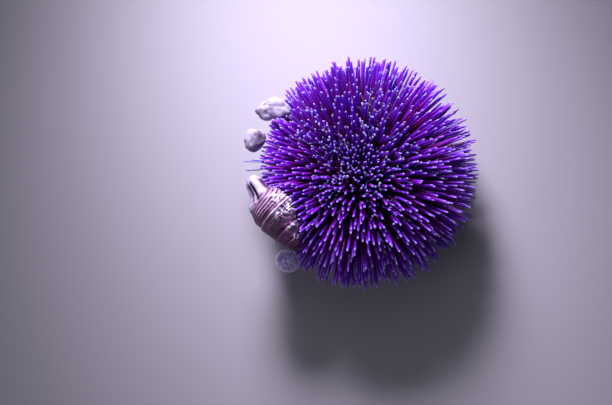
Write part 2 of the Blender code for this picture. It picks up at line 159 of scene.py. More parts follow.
zoneNames, zoneEdges = [], []
for number in range(test["zones"]):
    start = math.radians(test["firstAmbulacrum"] + zoneTurn * number - test["ambulacrumAngle"] / 2)
    end = start + math.radians(test["ambulacrumAngle"])
    zoneNames += [f"ambulacrum_{number + 1}", f"interambulacrum_{number + 1}"]
    zoneEdges += [(start, end), (end, start + math.radians(zoneTurn))]


def gore(polar, azimuth, edges):
    # Where a root lies on the unwrap of its zone: across it, and along it from crown to mouth
    across = (azimuth - edges[0]) / (edges[1] - edges[0])
    along = (travelAt(polar) - crownTravel) / (mouthTravel - crownTravel)
    return 0.5 + test["unwrapHalf"] * (2 * np.clip(np.stack([across, along], -1), 0, 1) - 1)


def flatRound(out, azimuth):
    # A place on a round unwrap, where out goes from 0 in the middle to 1 at the rim
    out = out * test["unwrapHalf"]
    return 0.5 + np.stack([out * np.cos(azimuth), out * np.sin(azimuth)], -1)


def disc(polar, azimuth):
    # Where a root lies on the unwrap of the whole test, flat round the crown
    return flatRound(travelAt(polar) / fineTravel[-1], azimuth)


# Mesh tools

def makeMesh(name, verts, faces, maps=None, values=None):
    # faces is a list of arrays, each with rows of equally many corners
    mesh = bpy.data.meshes.new(name)
    corners = np.concatenate([f.ravel() for f in faces]).astype(np.int32)
    sizes = np.concatenate([np.full(len(f), f.shape[1], np.int32) for f in faces])
    starts = np.concatenate([[0], np.cumsum(sizes)[:-1]]).astype(np.int32)
    mesh.vertices.add(len(verts))
    mesh.vertices.foreach_set("co", np.asarray(verts, np.float32).ravel())
    mesh.loops.add(len(corners))
    mesh.loops.foreach_set("vertex_index", corners)
    mesh.polygons.add(len(sizes))
    mesh.polygons.foreach_set("loop_start", starts)
    mesh.update(calc_edges=True)
    mesh.polygons.foreach_set("use_smooth", np.ones(len(sizes), bool))
    for label, uv in (maps or {}).items():
        layer = mesh.uv_layers.new(name=label)
        layer.data.foreach_set("uv", np.asarray(uv, np.float32).ravel())
    for label, value in (values or {}).items():
        layer = mesh.attributes.new(label, "FLOAT", "POINT")
        layer.data.foreach_set("value", np.asarray(value, np.float32).ravel())
    mesh.validate()
    return mesh


def addObject(name, data):
    obj = bpy.data.objects.new(name, data)
    bpy.context.scene.collection.objects.link(obj)
    return obj


def addPiece(mesh, material, slot, *nodes):
    mesh.materials.append(material)
    obj = addObject(mesh.name, mesh)
    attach(obj, "root")
    if nodes:
        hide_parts(*nodes)
    return obj


def wallQuads(rings, sides):
    # The quads between rings of points, as corner numbers
    ring, place = np.meshgrid(np.arange(rings - 1), np.arange(sides), indexing="ij")
    after = (place + 1) % sides
    return np.stack([ring * sides + place, ring * sides + after,
                     (ring + 1) * sides + after, (ring + 1) * sides + place], -1).reshape(-1, 4)


def tubes(paths, radii, sides, roots, tone=0.0, ridge=0.0):
    # Many round tapered pieces at once. paths is (pieces, rings, 3) and radii (pieces, rings).
    # Gives the vertices, faces, maps and values that makeMesh takes.
    pieces, rings, _ = paths.shape
    tangent = unit(np.gradient(paths, axis=1))
    aside = np.where(np.abs(tangent[:, :1, 2:]) < 0.8, [[[0.0, 0, 1]]], [[[1.0, 0, 0]]])
    side = unit(aside - (aside * tangent).sum(-1, keepdims=True) * tangent)
    front = np.cross(tangent, side)
    place = np.arange(sides)
    turn = place * math.tau / sides
    spoke = side[:, :, None] * np.cos(turn)[:, None] + front[:, :, None] * np.sin(turn)[:, None]
    reach = radii[:, :, None] * (1 + ridge * np.cos(turn * sides / 2))
    wall = paths[:, :, None] + spoke * reach[..., None]
    head = paths[:, -1] + tangent[:, -1] * radii[:, -1:] * 0.55
    verts = np.concatenate([wall.reshape(pieces, -1, 3), paths[:, :1], head[:, None]], 1)
    count = rings * sides + 2
    after, top = (place + 1) % sides, (rings - 1) * sides
    base = np.stack([after, place, np.full(sides, count - 2)], -1)
    tip = np.stack([top + place, top + after, np.full(sides, count - 1)], -1)
    shift = (np.arange(pieces) * count)[:, None, None]
    faces = [(f[None] + shift).reshape(-1, f.shape[1]) for f in (wallQuads(rings, sides), base, tip)]
    length = np.cumsum(np.linalg.norm(np.diff(paths, axis=1), axis=-1), 1)
    along = np.concatenate([np.zeros((pieces, 1)), length], 1) / length[:, -1:]
    low, high = along[:, :-1, None], along[:, 1:, None]
    wallShape, capShape = (pieces, rings - 1, sides, 4), (pieces, sides, 3)
    wallAround = np.broadcast_to(np.stack([place, place + 1, place + 1, place], -1) / sides, wallShape)
    wallAlong = np.broadcast_to(np.stack([low, low, high, high], -1), wallShape)
    capAround = np.broadcast_to(np.stack([place, place + 1, place + 0.5], -1) / sides, capShape)
    lie = np.concatenate([np.stack(pair, -1).reshape(-1, 2) for pair in (
        (wallAround, wallAlong), (capAround, np.zeros(capShape)), (capAround, np.ones(capShape)))])
    corners = ((rings - 1) * 4, 3, 3)
    owner = np.concatenate([np.repeat(np.arange(pieces), sides * each) for each in corners])
    bake = roots[owner] + (lie - 0.5) * test["patch"]
    tones = np.repeat(np.broadcast_to(tone, pieces), count)
    return verts.reshape(-1, 3), faces, {"lie": lie, "OFBake": bake}, {"tone": tones}


def joined(parts):
    # Several results of tubes as one
    verts, faces, maps, values = zip(*parts)
    offsets = np.cumsum([0, *map(len, verts)])
    faces = [f + offset for some, offset in zip(faces, offsets) for f in some]
    maps, values = ({label: np.concatenate([part[label] for part in kind]) for label in kind[0]}
                    for kind in (maps, values))
    return np.concatenate(verts), faces, maps, values


def grid(place, columns, rows, flip=False, low=None, high=None):
    # A surface from a function of two arrays, the turn round it and the way along it, each 0 to 1.
    # A low or high point closes that end.
    verts = place(*np.meshgrid(np.arange(columns) / columns, np.linspace(0, 1, rows))).reshape(-1, 3)
    faces = [wallQuads(rows, columns)]
    column, top = np.arange(columns), (rows - 1) * columns
    after = (column + 1) % columns
    for point, first, second in ((low, after, column), (high, top + column, top + after)):
        if point is not None:
            faces.append(np.stack([first, second, np.full(columns, len(verts))], -1))
            verts = np.concatenate([verts, [point]])
    return verts, [f[:, ::-1] for f in faces] if flip else faces


def padded(values, verts):
    # The points that close the ends have no value of their own
    return {label: np.pad(value, (0, len(verts) - len(value))) for label, value in values.items()}


def shareAlong(path):
    # How far along a path each of its points is, from 0 to 1
    travel = np.concatenate([[0], np.cumsum(np.linalg.norm(np.diff(path, axis=0), axis=1))])
    return travel / travel[-1]


# Shared effects, as node groups

def newGroup(name, inputs, outputs):
    # inputs gives each label its default, a number or a colour
    group = bpy.data.node_groups.new(name, "ShaderNodeTree")
    for label, value in inputs.items():
        kind = "NodeSocketFloat" if isinstance(value, float) else "NodeSocketColor"
        group.interface.new_socket(name=label, in_out="INPUT", socket_type=kind).default_value = value
    for label in outputs:
        kind = "NodeSocketColor" if label == "Color" else "NodeSocketFloat"
        group.interface.new_socket(name=label, in_out="OUTPUT", socket_type=kind)
    return group, group.nodes.new("NodeGroupInput").outputs, group.nodes.new("NodeGroupOutput").inputs


def addNode(tree, kind, links=None, **settings):
    # Adds a node, sets its properties, and fills or links its inputs by name or number
    made = tree.nodes.new(kind)
    for key, value in settings.items():
        setattr(made, key, value)
    for key, value in (links or {}).items():
        if isinstance(value, bpy.types.NodeSocket):
            tree.links.new(value, made.inputs[key])
        else:
            made.inputs[key].default_value = value
    return made


def ramp(tree, factor, stops):
    made = addNode(tree, "ShaderNodeValToRGB", {0: factor})
    while len(made.color_ramp.elements) < len(stops):
        made.color_ramp.elements.new(0.5)
    for element, (place, colour) in zip(made.color_ramp.elements, stops):
        element.position = place
        element.color = (*colour, 1)
    return made.outputs["Color"]


def maths(tree, operation, *values, clamp=False):
    return addNode(tree, "ShaderNodeMath", dict(enumerate(values)), operation=operation,
                   use_clamp=clamp).outputs[0]


def mapped(tree, value, **ends):
    links = {"Value": value} | {label.replace("_", " "): end for label, end in ends.items()}
    return addNode(tree, "ShaderNodeMapRange", links).outputs[0]


def blendColour(tree, factor, first, second, way="MIX"):
    return addNode(tree, "ShaderNodeMix", {"Factor": factor, 6: first, 7: second}, data_type="RGBA",
                   blend_type=way).outputs[2]


def noiseOn(tree, scale, **settings):
    links = {"Vector": addNode(tree, "ShaderNodeTexCoord").outputs["Object"], "Scale": scale} | settings
    return addNode(tree, "ShaderNodeTexNoise", links).outputs["Fac"]


def cellsOn(tree, scale):
    links = {"Vector": addNode(tree, "ShaderNodeTexCoord").outputs["Object"], "Scale": scale}
    return addNode(tree, "ShaderNodeTexVoronoi", links).outputs["Distance"]


def mottleGroup():
    # Cloudy change between two colours
    group, given, result = newGroup(
        "mottle", {"Dark": (0, 0, 0, 1), "Light": (1, 1, 1, 1), "Scale": 200.0, "Contrast": 1.0}, ["Color"])
    centred = maths(group, "SUBTRACT", noiseOn(group, given["Scale"], Detail=6.0), 0.5)
    spread = maths(group, "MULTIPLY_ADD", centred, given["Contrast"], 0.5, clamp=True)
    group.links.new(blendColour(group, spread, given["Dark"], given["Light"]), result["Color"])
    return group


def ridgeGroup():
    # Fine ridges across a map value, such as the grooves of a spine or the growth lines of a shell
    group, given, result = newGroup("ridges", {"Value": 0.0, "Count": 18.0, "Wander": 0.0}, ["Height"])
    wander = maths(group, "MULTIPLY", noiseOn(group, 300.0), given["Wander"])
    turns = maths(group, "MULTIPLY", given["Value"], given["Count"])
    wave = maths(group, "SINE", maths(group, "MULTIPLY", maths(group, "ADD", turns, wander), math.tau))
    group.links.new(maths(group, "MULTIPLY_ADD", wave, 0.5, 0.5), result["Height"])
    return group


def grainGroup():
    # Small pits and grains, with a mask that is 1 on the high places
    group, given, result = newGroup("grain", {"Scale": 900.0, "Pits": 0.5}, ["Height", "Mask"])
    pits = maths(group, "MULTIPLY", cellsOn(group, given["Scale"]), given["Pits"])
    height = maths(group, "ADD", noiseOn(group, given["Scale"], Detail=8.0, Roughness=0.65), pits)
    group.links.new(height, result["Height"])
    group.links.new(mapped(group, height, From_Min=0.45, From_Max=0.95), result["Mask"])
    return group


def crustGroup():
    # Pale chalky growth in patches
    group, given, result = newGroup("crust", {"Scale": 120.0, "Amount": 0.5}, ["Mask", "Height"])
    floor = maths(group, "SUBTRACT", 0.95, given["Amount"])
    over = maths(group, "SUBTRACT", noiseOn(group, given["Scale"], Detail=5.0), floor)
    mask = mapped(group, over, From_Min=0.0, From_Max=0.08)
    lumps = maths(group, "SUBTRACT", 1.0, cellsOn(group, 1400.0))
    group.links.new(mask, result["Mask"])
    group.links.new(maths(group, "MULTIPLY", lumps, mask), result["Height"])
    return group


mottle, ridges, grain, crust = mottleGroup(), ridgeGroup(), grainGroup(), crustGroup()


# Tools for materials

def newMaterial(name, roughness, **sockets):
    made = bpy.data.materials.new(name)
    made.use_nodes = True
    shader = made.node_tree.nodes["Principled BSDF"]
    shader.inputs["Roughness"].default_value = roughness
    for label, value in sockets.items():
        shader.inputs[label.replace("_", " ")].default_value = value
    return made, made.node_tree, shader


def placed(tree, group, **links):
    return addNode(tree, "ShaderNodeGroup", links, node_tree=group).outputs


def clouds(tree, dark, light, scale, contrast):
    return placed(tree, mottle, Dark=(*dark, 1), Light=(*light, 1), Scale=scale, Contrast=contrast)["Color"]


def bump(tree, shader, height, strength, depth, under=None):
    # Lies over the normal given as under. The depth is in mm.
    links = {"Height": height, "Strength": strength, "Distance": depth * mm}
    if under:
        links["Normal"] = under
    normal = addNode(tree, "ShaderNodeBump", links).outputs[0]
    tree.links.new(normal, shader.inputs["Normal"])
    return normal


def specks(tree, shader, scale, pits, strength, depth, under=None):
    made = placed(tree, grain, Scale=scale, Pits=pits)
    return made["Mask"], bump(tree, shader, made["Height"], strength, depth, under)


def lieOf(tree):
    # Round and along a spine, tube foot or stalk, each 0 to 1
    flat = addNode(tree, "ShaderNodeUVMap", uv_map="lie")
    split = addNode(tree, "ShaderNodeSeparateXYZ", {0: flat.outputs[0]})
    return split.outputs["X"], split.outputs["Y"]


def valueOf(tree, name):
    return addNode(tree, "ShaderNodeAttribute", attribute_name=name).outputs["Fac"]


def finished(made, colour):
    tree = made.node_tree
    tree.links.new(colour, tree.nodes["Principled BSDF"].inputs["Base Color"])
    return made


# Materials. Clouds are given as a dark and a light colour, a scale and a contrast,
# and specks as a scale, how deep their pits are, a strength and a depth in mm.

def spineMaterial():
    made, tree, shader = newMaterial("spineViolet", 0.36, Specular_IOR_Level=0.5, Coat_Weight=0.12,
                                     Coat_Roughness=0.25)
    around, along = lieOf(tree)
    # In both ramps the pale last stops at the tip are mostly painted highlight, the sheen that the tips
    # catch, on top of the spines' own paler tips.
    violet = ramp(tree, along, [
        (0.00, (0.020, 0.004, 0.014)),
        (0.14, (0.060, 0.004, 0.030)),
        (0.38, (0.150, 0.004, 0.170)),
        (0.62, (0.170, 0.006, 0.440)),
        (0.90, (0.210, 0.016, 0.700)),
        (0.97, (0.300, 0.130, 0.800)),
        (1.00, (0.480, 0.360, 0.900)),
    ])
    wine = ramp(tree, along, [
        (0.00, (0.024, 0.003, 0.010)),
        (0.20, (0.110, 0.005, 0.035)),
        (0.45, (0.310, 0.006, 0.180)),
        (0.72, (0.290, 0.008, 0.500)),
        (0.90, (0.290, 0.018, 0.730)),
        (0.97, (0.380, 0.150, 0.820)),
        (1.00, (0.520, 0.380, 0.920)),
    ])
    base = blendColour(tree, valueOf(tree, "tone"), violet, wine)
    change = clouds(tree, (0.62, 0.62, 0.66), (1.25, 1.2, 1.3), 700.0, 1.6)
    base = blendColour(tree, 1.0, base, change, "MULTIPLY")
    grooves = placed(tree, ridges, Value=around, Count=16.0)["Height"]
    # The colour follows the groove height too: painted shade in the grooves and painted highlight on the
    # ridges.
    base = blendColour(tree, 1.0, base, mapped(tree, grooves, To_Min=0.7, To_Max=1.18), "MULTIPLY")
    bump(tree, shader, grooves, 0.55, 0.05)
    return finished(made, base)


def footMaterial():
    made, tree, shader = newMaterial("tubeFoot", 0.3, Subsurface_Weight=0.25, Coat_Weight=0.3)
    along = lieOf(tree)[1]
    colour = ramp(tree, along, [
        (0.00, (0.05, 0.010, 0.10)),
        (0.40, (0.08, 0.040, 0.34)),
        (0.88, (0.12, 0.090, 0.52)),
        (0.95, (0.22, 0.170, 0.58)),
        (1.00, (0.36, 0.290, 0.70)),
    ])
    change = clouds(tree, (0.6, 0.6, 0.7), (1.3, 1.3, 1.3), 900.0, 1.5)
    folds = placed(tree, ridges, Value=along, Count=46.0, Wander=0.6)["Height"]
    bump(tree, shader, folds, 0.5, 0.05)
    return finished(made, blendColour(tree, 1.0, colour, change, "MULTIPLY"))


def rampMaterial(name, roughness, stops, specked, **sockets):
    # Colours along each piece, with specks
    made, tree, shader = newMaterial(name, roughness, **sockets)
    specks(tree, shader, *specked)
    return finished(made, ramp(tree, lieOf(tree)[1], stops))


def cloudMaterial(name, roughness, clouded, specked, high=None, **sockets):
    # Cloudy colour, with specks and another colour on the highest of them
    made, tree, shader = newMaterial(name, roughness, **sockets)
    colour, mask = clouds(tree, *clouded), specks(tree, shader, *specked)[0]
    return finished(made, blendColour(tree, mask, colour, (*high, 1)) if high else colour)


def stoneMaterial():
    made, tree, shader = newMaterial("paleStone", 0.75, Specular_IOR_Level=0.3)
    patches = placed(tree, crust, Scale=260.0, Amount=0.52)
    under = specks(tree, shader, 900.0, 0.7, 0.5, 0.25)[1]
    bump(tree, shader, patches["Height"], 0.3, 0.15, under)
    colour = clouds(tree, (0.13, 0.080, 0.14), (0.34, 0.29, 0.40), 130.0, 2.8)
    return finished(made, blendColour(tree, patches["Mask"], colour, (0.37, 0.33, 0.43, 1)))


def whelkMaterial():
    # The values on the mesh are the height of the cords, the pale lip, the painted shade in the opening and
    # the crust
    made, tree, shader = newMaterial("whelkShell", 0.5, Specular_IOR_Level=0.4)
    cord, lip, hollow, chalk = (valueOf(tree, name) for name in ("cord", "lip", "hollow", "chalk"))
    ground = clouds(tree, (0.045, 0.007, 0.040), (0.15, 0.038, 0.13), 190.0, 2.2)
    cream = clouds(tree, (0.26, 0.13, 0.22), (0.70, 0.52, 0.64), 520.0, 2.2)
    porcelain = clouds(tree, (0.38, 0.30, 0.50), (0.64, 0.56, 0.76), 330.0, 1.8)
    chalky = maths(tree, "MULTIPLY", placed(tree, crust, Scale=620.0, Amount=0.50)["Mask"], chalk)
    colour = blendColour(tree, cord, ground, cream)
    colour = blendColour(tree, lip, colour, porcelain)
    # Painted shade: the opening is only a shallow dent, and this near-black stands in for the shade inside
    # the shell.
    colour = blendColour(tree, hollow, colour, (0.035, 0.008, 0.050, 1))
    colour = blendColour(tree, chalky, colour, (0.78, 0.70, 0.88, 1))
    bump(tree, shader, chalky, 0.6, 0.3, specks(tree, shader, 1300.0, 0.5, 0.35, 0.12)[1])
    return finished(made, colour)


def limpetMaterial():
    # The values on the mesh are the spaces between the rays, and the way from the top to the rim
    made, tree, shader = newMaterial("limpetShell", 0.4, Specular_IOR_Level=0.45)
    rays, rim = valueOf(tree, "ray"), valueOf(tree, "rim")
    # All its colours, the pale rim too, are made lighter than the shell's own: painted light for the shade of
    # the whelk and spines that it lies in.
    colour = clouds(tree, (0.34, 0.24, 0.56), (0.80, 0.68, 0.94), 620.0, 3.0)
    dark = maths(tree, "MULTIPLY", placed(tree, crust, Scale=640.0, Amount=0.43)["Mask"], rays)
    colour = blendColour(tree, dark, colour, (0.19, 0.12, 0.40, 1))
    colour = blendColour(tree, mapped(tree, rim, From_Min=0.84, From_Max=0.97), colour, (0.93, 0.86, 1.0, 1))
    lines = placed(tree, ridges, Value=rim, Count=14.0, Wander=0.4)["Height"]
    specks(tree, shader, 1500.0, 0.4, 0.2, 0.08, bump(tree, shader, lines, 0.4, 0.1))
    return finished(made, colour)


spineLook, footLook = spineMaterial(), footMaterial()
jawLook = rampMaterial("pedicellaria", 0.4, [
    (0.00, (0.06, 0.010, 0.10)),
    (0.55, (0.12, 0.050, 0.32)),
    (0.78, (0.40, 0.300, 0.72)),
    (1.00, (0.62, 0.540, 0.86)),
], (2600.0, 0.4, 0.3, 0.05), Subsurface_Weight=0.15)
tubercleLook = rampMaterial("tubercle", 0.42, [
    (0.0, (0.045, 0.006, 0.045)),
    (0.55, (0.13, 0.020, 0.12)),
    (0.8, (0.30, 0.140, 0.36)),
    (1.0, (0.42, 0.260, 0.50)),
], (2200.0, 0.5, 0.35, 0.05))
skinLook = cloudMaterial("testSkin", 0.55, ((0.018, 0.003, 0.018), (0.085, 0.012, 0.075), 260.0, 2.0),
                         (1500.0, 0.7, 0.6, 0.15), (0.12, 0.03, 0.13), Specular_IOR_Level=0.35)
crownLook = cloudMaterial("crownPlates", 0.5, ((0.05, 0.008, 0.07), (0.20, 0.060, 0.22), 500.0, 1.8),
                          (1700.0, 0.8, 0.5, 0.1), (0.30, 0.16, 0.34))
membraneLook = cloudMaterial("mouthMembrane", 0.48, ((0.09, 0.020, 0.09), (0.30, 0.120, 0.25), 420.0, 2.2),
                             (1100.0, 0.3, 0.7, 0.15), Subsurface_Weight=0.1)
toothLook = cloudMaterial("toothEnamel", 0.25, ((0.42, 0.33, 0.22), (0.86, 0.83, 0.76), 260.0, 1.4),
                          (1900.0, 0.2, 0.15, 0.05), Coat_Weight=0.3)
stoneLook, whelkLook, limpetLook = stoneMaterial(), whelkMaterial(), limpetMaterial()
print("materials made")

# The stones

stoneShapes = {
    "cover_stone_large": {
        "at": (-34.9, 25.3, 5.0),
        "half": (6.9, 4.5, 4.4),
        "turn": 4,
        "bumps": (((0.22, 0.95, 0.25), 0.30), ((-0.45, 0.85, 0.30), -0.20), ((-0.86, 0.42, 0.2), 0.16),
                  ((-0.88, -0.38, 0.1), 0.14), ((-1.0, 0.0, 0.1), -0.16), ((0.95, -0.35, 0.0), 0.16),
                  ((0.55, -0.85, 0.1), 0.20), ((-0.2, -1.0, 0.1), 0.14), ((-0.28, -0.10, 1.0), -0.18),
                  ((0.40, 0.25, 0.9), 0.10)),
        "seed": 3.1,
    },
    "cover_stone_small": {
        "at": (-42.2, 13.0, 3.0),
        "half": (4.4, 5.0, 4.4),
        "turn": -14,
        "bumps": (((0.7, 0.7, 0.3), 0.14), ((-0.6, 0.6, 0.4), 0.06), ((-0.2, -0.9, 0.2), 0.08),
                  ((0.3, 0.1, 0.9), 0.10), ((0.9, -0.5, 0.1), -0.12)),
        "seed": 8.7,
    },
}
stoneFinish = {
    "reach": 0.985,
    "bumpTightness": 7.0,
    "lumpScale": 1.5,
    "lump": 0.20,
    "chipScale": 1.7,
    "chip": 0.13,
    "fineScale": 6,
    "fine": 0.014,
}


def addStone(node, shape):
    form = bmesh.new()
    bmesh.ops.create_icosphere(form, subdivisions=6, radius=1.0)
    turn = Matrix.Rotation(math.radians(shape["turn"]), 3, "Z")
    half, centre = Vector(shape["half"]) * mm, middle + Vector(shape["at"]) * mm
    drift = Vector((shape["seed"],) * 3)
    for vert in form.verts:
        way = vert.co.normalized()
        reach = stoneFinish["reach"]
        for toward, height in shape["bumps"]:
            tight = stoneFinish["bumpTightness"] * (1 - way.dot(Vector(toward).normalized()))
            reach += height * math.exp(-tight)
        lump = noise.noise(way * stoneFinish["lumpScale"] + drift) * stoneFinish["lump"]
        chip = noise.voronoi(way * stoneFinish["chipScale"] + drift)[0][0] * stoneFinish["chip"]
        fine = noise.fractal(way * stoneFinish["fineScale"] + drift, 0.9, 2.1, 5) * stoneFinish["fine"]
        reach += lump - chip + fine
        vert.co = centre + turn @ Vector(a * b * reach for a, b in zip(way, half))
    for _ in range(2):
        bmesh.ops.smooth_vert(form, verts=form.verts, factor=0.5, use_axis_x=True, use_axis_y=True,
                              use_axis_z=True)
    mesh = bpy.data.meshes.new(node.replace("cover_s", "s"))
    form.to_mesh(mesh)
    form.free()
    mesh.shade_smooth()
    return addPiece(mesh, stoneLook, "pale_stone", node)


coverPieces = {node: addStone(node, shape) for node, shape in stoneShapes.items()}
print("stones made")


# The whelk shell

whelk = {
    "canal": (-43.3, -5.4, 16.6),
    "apex": (-24.4, -34.4, 16.0),
    "radius": 8.1 * mm,
    "outline": ((0.0, 0.22), (0.06, 0.40), (0.20, 0.48), (0.32, 0.86), (0.46, 1.0), (0.58, 0.92),
                (0.80, 0.60), (0.93, 0.36), (1.0, 0.10)),
    "whorlShrink": 0.52,
    "whorlStart": 0.45,
    "spireFrom": 0.36,          # share of the length where the whorls start to show
    # Across a whorl, as shares of its width: the groove between whorls, a strong ridge and the knobs
    "grooveWidth": 0.10,
    "grooveDepth": 0.06,
    "ridgeAt": 0.10,
    "ridgeWidth": 0.045,
    "ridgeHeight": 0.075,
    "knobAt": 0.35,
    "knobWidth": 0.16,
    "knobHeight": 0.025,
    "knobs": 8,
    "cords": 7,
    "cordHeight": 0.050,
    "openingAt": 0.20,
    "openingHalfLength": 0.115,
    "openingSide": 42,
    "openingHalfAngle": 0.42,
    "openingDepth": 0.55,
    # Angle from the opening's middle and half width in radians, share where it ends, and over how much
    "lips": ((0.95, 0.48, 0.27, 0.05), (-0.72, 0.30, 0.36, 0.06)),
    "lipHeights": (0.13, 0.08),
    # Where the chalky lumps sit: share of the length, side in degrees, and their spread
    "lumps": ((0.375, 126, 0.065, 30), (0.55, 116, 0.085, 34), (0.73, 114, 0.035, 20), (0.86, 120, 0.03, 18),
              (0.47, 168, 0.30, 16), (0.62, 300, 0.10, 40)),
    "lump": 0.95 * mm,
    "wear": 0.13 * mm,
    "columns": 290,
    "rows": 340,
    "seed": 21.0,
}


def addWhelk():
    canal, apex = (middle + Vector(whelk[end]) * mm for end in ("canal", "apex"))
    along = (apex - canal).normalized()
    side = along.cross(Vector((0, 0, 1))).normalized()
    canal, apex, side, front = (np.array(v) for v in (canal, apex, side, side.cross(along)))
    fineShare, kernel = np.linspace(0, 1, 401), np.hanning(37)
    smooth = np.pad(np.interp(fineShare, *zip(*whelk["outline"])), 18, mode="edge")
    smooth = np.convolve(smooth, kernel / kernel.sum(), mode="valid")
    values = {}

    def place(turn, share):
        angle = turn * math.tau
        share = 0.004 + 0.992 * share
        whorls = np.log(np.maximum(1 - share, 1e-3) / whelk["whorlStart"]) / math.log(whelk["whorlShrink"])
        whorls = whorls + turn
        within = whorls - np.floor(whorls)
        onSpire = fadeIn(share - whelk["spireFrom"], 0.12)
        groove = onSpire * bell(np.minimum(within, 1 - within), whelk["grooveWidth"])
        cordWave = 0.5 + 0.5 * np.cos(whorls * whelk["cords"] * math.tau * 1.5)
        strong = 0.5 + 0.5 * np.cos(whorls * math.tau * 3 - 1.0)
        fade = fadeIn(share - 0.22, 0.06) * np.clip((0.72 - share) / 0.24, 0.12, 1)
        fromRidge = within - whelk["ridgeAt"]
        plain = 1 - 0.85 * onSpire * bell(fromRidge, 0.10)
        cord = cordWave**1.5 * fade * (0.60 + 0.40 * strong) * plain
        ridge = onSpire * bell(fromRidge, whelk["ridgeWidth"]) * fadeIn(0.75 - share, 0.1)
        knobs = whelk["knobHeight"] * onSpire * bell(within - whelk["knobAt"], whelk["knobWidth"])
        off = (angle - math.radians(whelk["openingSide"]) + math.pi) % math.tau - math.pi
        inOpening = bell(share - whelk["openingAt"], whelk["openingHalfLength"], 4)
        slot = bell(off, whelk["openingHalfAngle"], 4) * inOpening
        edge = bell(off, 0.10) * fadeIn(0.34 - share, 0.05)
        lips = [bell(off - aim, half, 4) * fadeIn(end - share, over)
                for aim, half, end, over in whelk["lips"]]
        scale = 1 + knobs * np.cos(whelk["knobs"] * angle) + whelk["cordHeight"] * (cord - 0.4)
        scale -= whelk["grooveDepth"] * groove + whelk["openingDepth"] * slot * (1 - 0.72 * edge)
        scale += sum(lip * height for lip, height in zip(lips, whelk["lipHeights"]))
        scale += whelk["ridgeHeight"] * ridge
        reach = whelk["radius"] * np.interp(share, fineShare, smooth) * scale
        spoke = side * np.cos(angle)[..., None] + front * np.sin(angle)[..., None]
        pale = np.maximum(np.maximum(*lips), fadeIn(0.10 - share, 0.04) * 0.9) * (1 - slot)
        chalk = np.zeros_like(share)
        for at, aim, long, wide in whelk["lumps"]:
            away = (np.degrees(angle) - aim + 180) % 360 - 180
            chalk = np.maximum(chalk, bell(share - at, long, 4) * bell(away, wide, 4))
        values["cord"] = np.clip(cord * (1 - 0.6 * groove) + ridge, 0, 1).ravel()
        values["lip"] = np.clip(np.maximum(pale, edge * inOpening * 0.9), 0, 1).ravel()
        # Where the painted shade of the opening goes.
        values["hollow"] = (slot * (1 - edge)).ravel()
        values["chalk"] = chalk.ravel()
        return canal + (apex - canal) * share[..., None] + spoke * reach[..., None]

    verts, faces = grid(place, whelk["columns"], whelk["rows"], flip=True, low=canal, high=apex)
    values = padded(values, verts)
    run = apex - canal
    nearest = canal + run * np.clip((verts - canal) @ run / (run @ run), 0, 1)[:, None]
    outward = unit(verts - nearest)
    drift = Vector((whelk["seed"],) * 3)
    for i, vert in enumerate(verts):
        spot = Vector(vert) * 900
        lump = max(0.0, noise.noise(spot * 0.9 + drift) + 0.30) * values["chalk"][i] * whelk["lump"]
        wear = noise.fractal(spot * 0.5 + drift, 1.0, 2.0, 4) * whelk["wear"]
        verts[i] = vert + outward[i] * (lump + wear)
    mesh = makeMesh("whelkShell", verts, faces, values=values)
    return addPiece(mesh, whelkLook, "whelk_shell", "cover_whelk_shell")


coverPieces["cover_whelk_shell"] = addWhelk()
print("whelk shell made")


# The limpet shell

limpet = {
    "at": (-29.0, -35.6, 0.6),
    "facing": (-0.30, -0.45, 0.84),
    "radius": 4.9 * mm,
    "rise": 2.6 * mm,
    "outer": ((0.01, 1.0), (0.45, 0.86), (0.80, 0.50), (0.97, 0.10), (1.0, 0.03)),
    "inner": ((0.97, 0.0), (0.93, 0.02), (0.72, 0.22), (0.40, 0.48), (0.01, 0.6)),
    "rays": 17,
    "columns": 170,
    "rows": 70,
}


def addLimpet():
    centre = np.array(middle + Vector(limpet["at"]) * mm)
    turn = np.array(Vector(limpet["facing"]).to_track_quat("Z", "Y").to_matrix())
    path = np.array(limpet["outer"] + limpet["inner"])
    travel = shareAlong(path)
    rimAt = travel[len(limpet["outer"]) - 1]
    values = {}

    def place(around, along):
        across, up = (np.interp(along, travel, path[:, i]) for i in (0, 1))
        angle = around * math.tau
        wave = 0.5 + 0.5 * np.cos(angle * limpet["rays"] + 0.8 * np.sin(3 * angle))
        outside = fadeIn(rimAt - along, 0.05)
        ray = wave**2 * outside
        steps = 0.012 * np.cos(across * 30) * outside
        uneven = (1 - 0.03 * wave * (across > 0.3)) * (1 + 0.02 * np.sin(2 * angle + 1))
        out = across * uneven * limpet["radius"]
        height = (up + steps - 0.03 * ray * across) * limpet["rise"]
        values["ray"] = ((1 - 0.5 * ray) * outside * fadeIn(0.86 - across, 0.1)).ravel()
        values["rim"] = across.ravel()
        return centre + np.stack([out * np.cos(angle), out * np.sin(angle), height], -1) @ turn.T

    ends = (centre + turn @ np.array([0, 0, height * limpet["rise"]]) for height in (1.0, 0.6))
    verts, faces = grid(place, limpet["columns"], limpet["rows"], True, *ends)
    mesh = makeMesh("limpetShell", verts, faces, values=padded(values, verts))
    return addPiece(mesh, limpetLook, "limpet_shell", "cover_limpet_shell")


coverPieces["cover_limpet_shell"] = addLimpet()
print("limpet shell made")


def surfaceOf(obj):
    mesh = obj.data
    return BVHTree.FromPolygons([v.co for v in mesh.vertices], [tuple(p.vertices) for p in mesh.polygons])


coverSurfaces = {node: surfaceOf(obj) for node, obj in coverPieces.items()}


coverRoom = {
    "near": 14 * mm,            # pieces that start further away than this and their length are left alone
    "under": 16 * mm,           # a piece may not lie over the cover within this depth
    "steps": (0.15 * mm, 0.4 * mm),
    "look": Vector((0, 0.208, -0.978)),     # straight down, less the 12 degrees that the photograph leans
    "tilts": (0.12, 0.25, 0.4, 0.55),
    "sides": 8,
    "gain": 1.15,               # a tilt is taken if it lets the piece run this much further
}


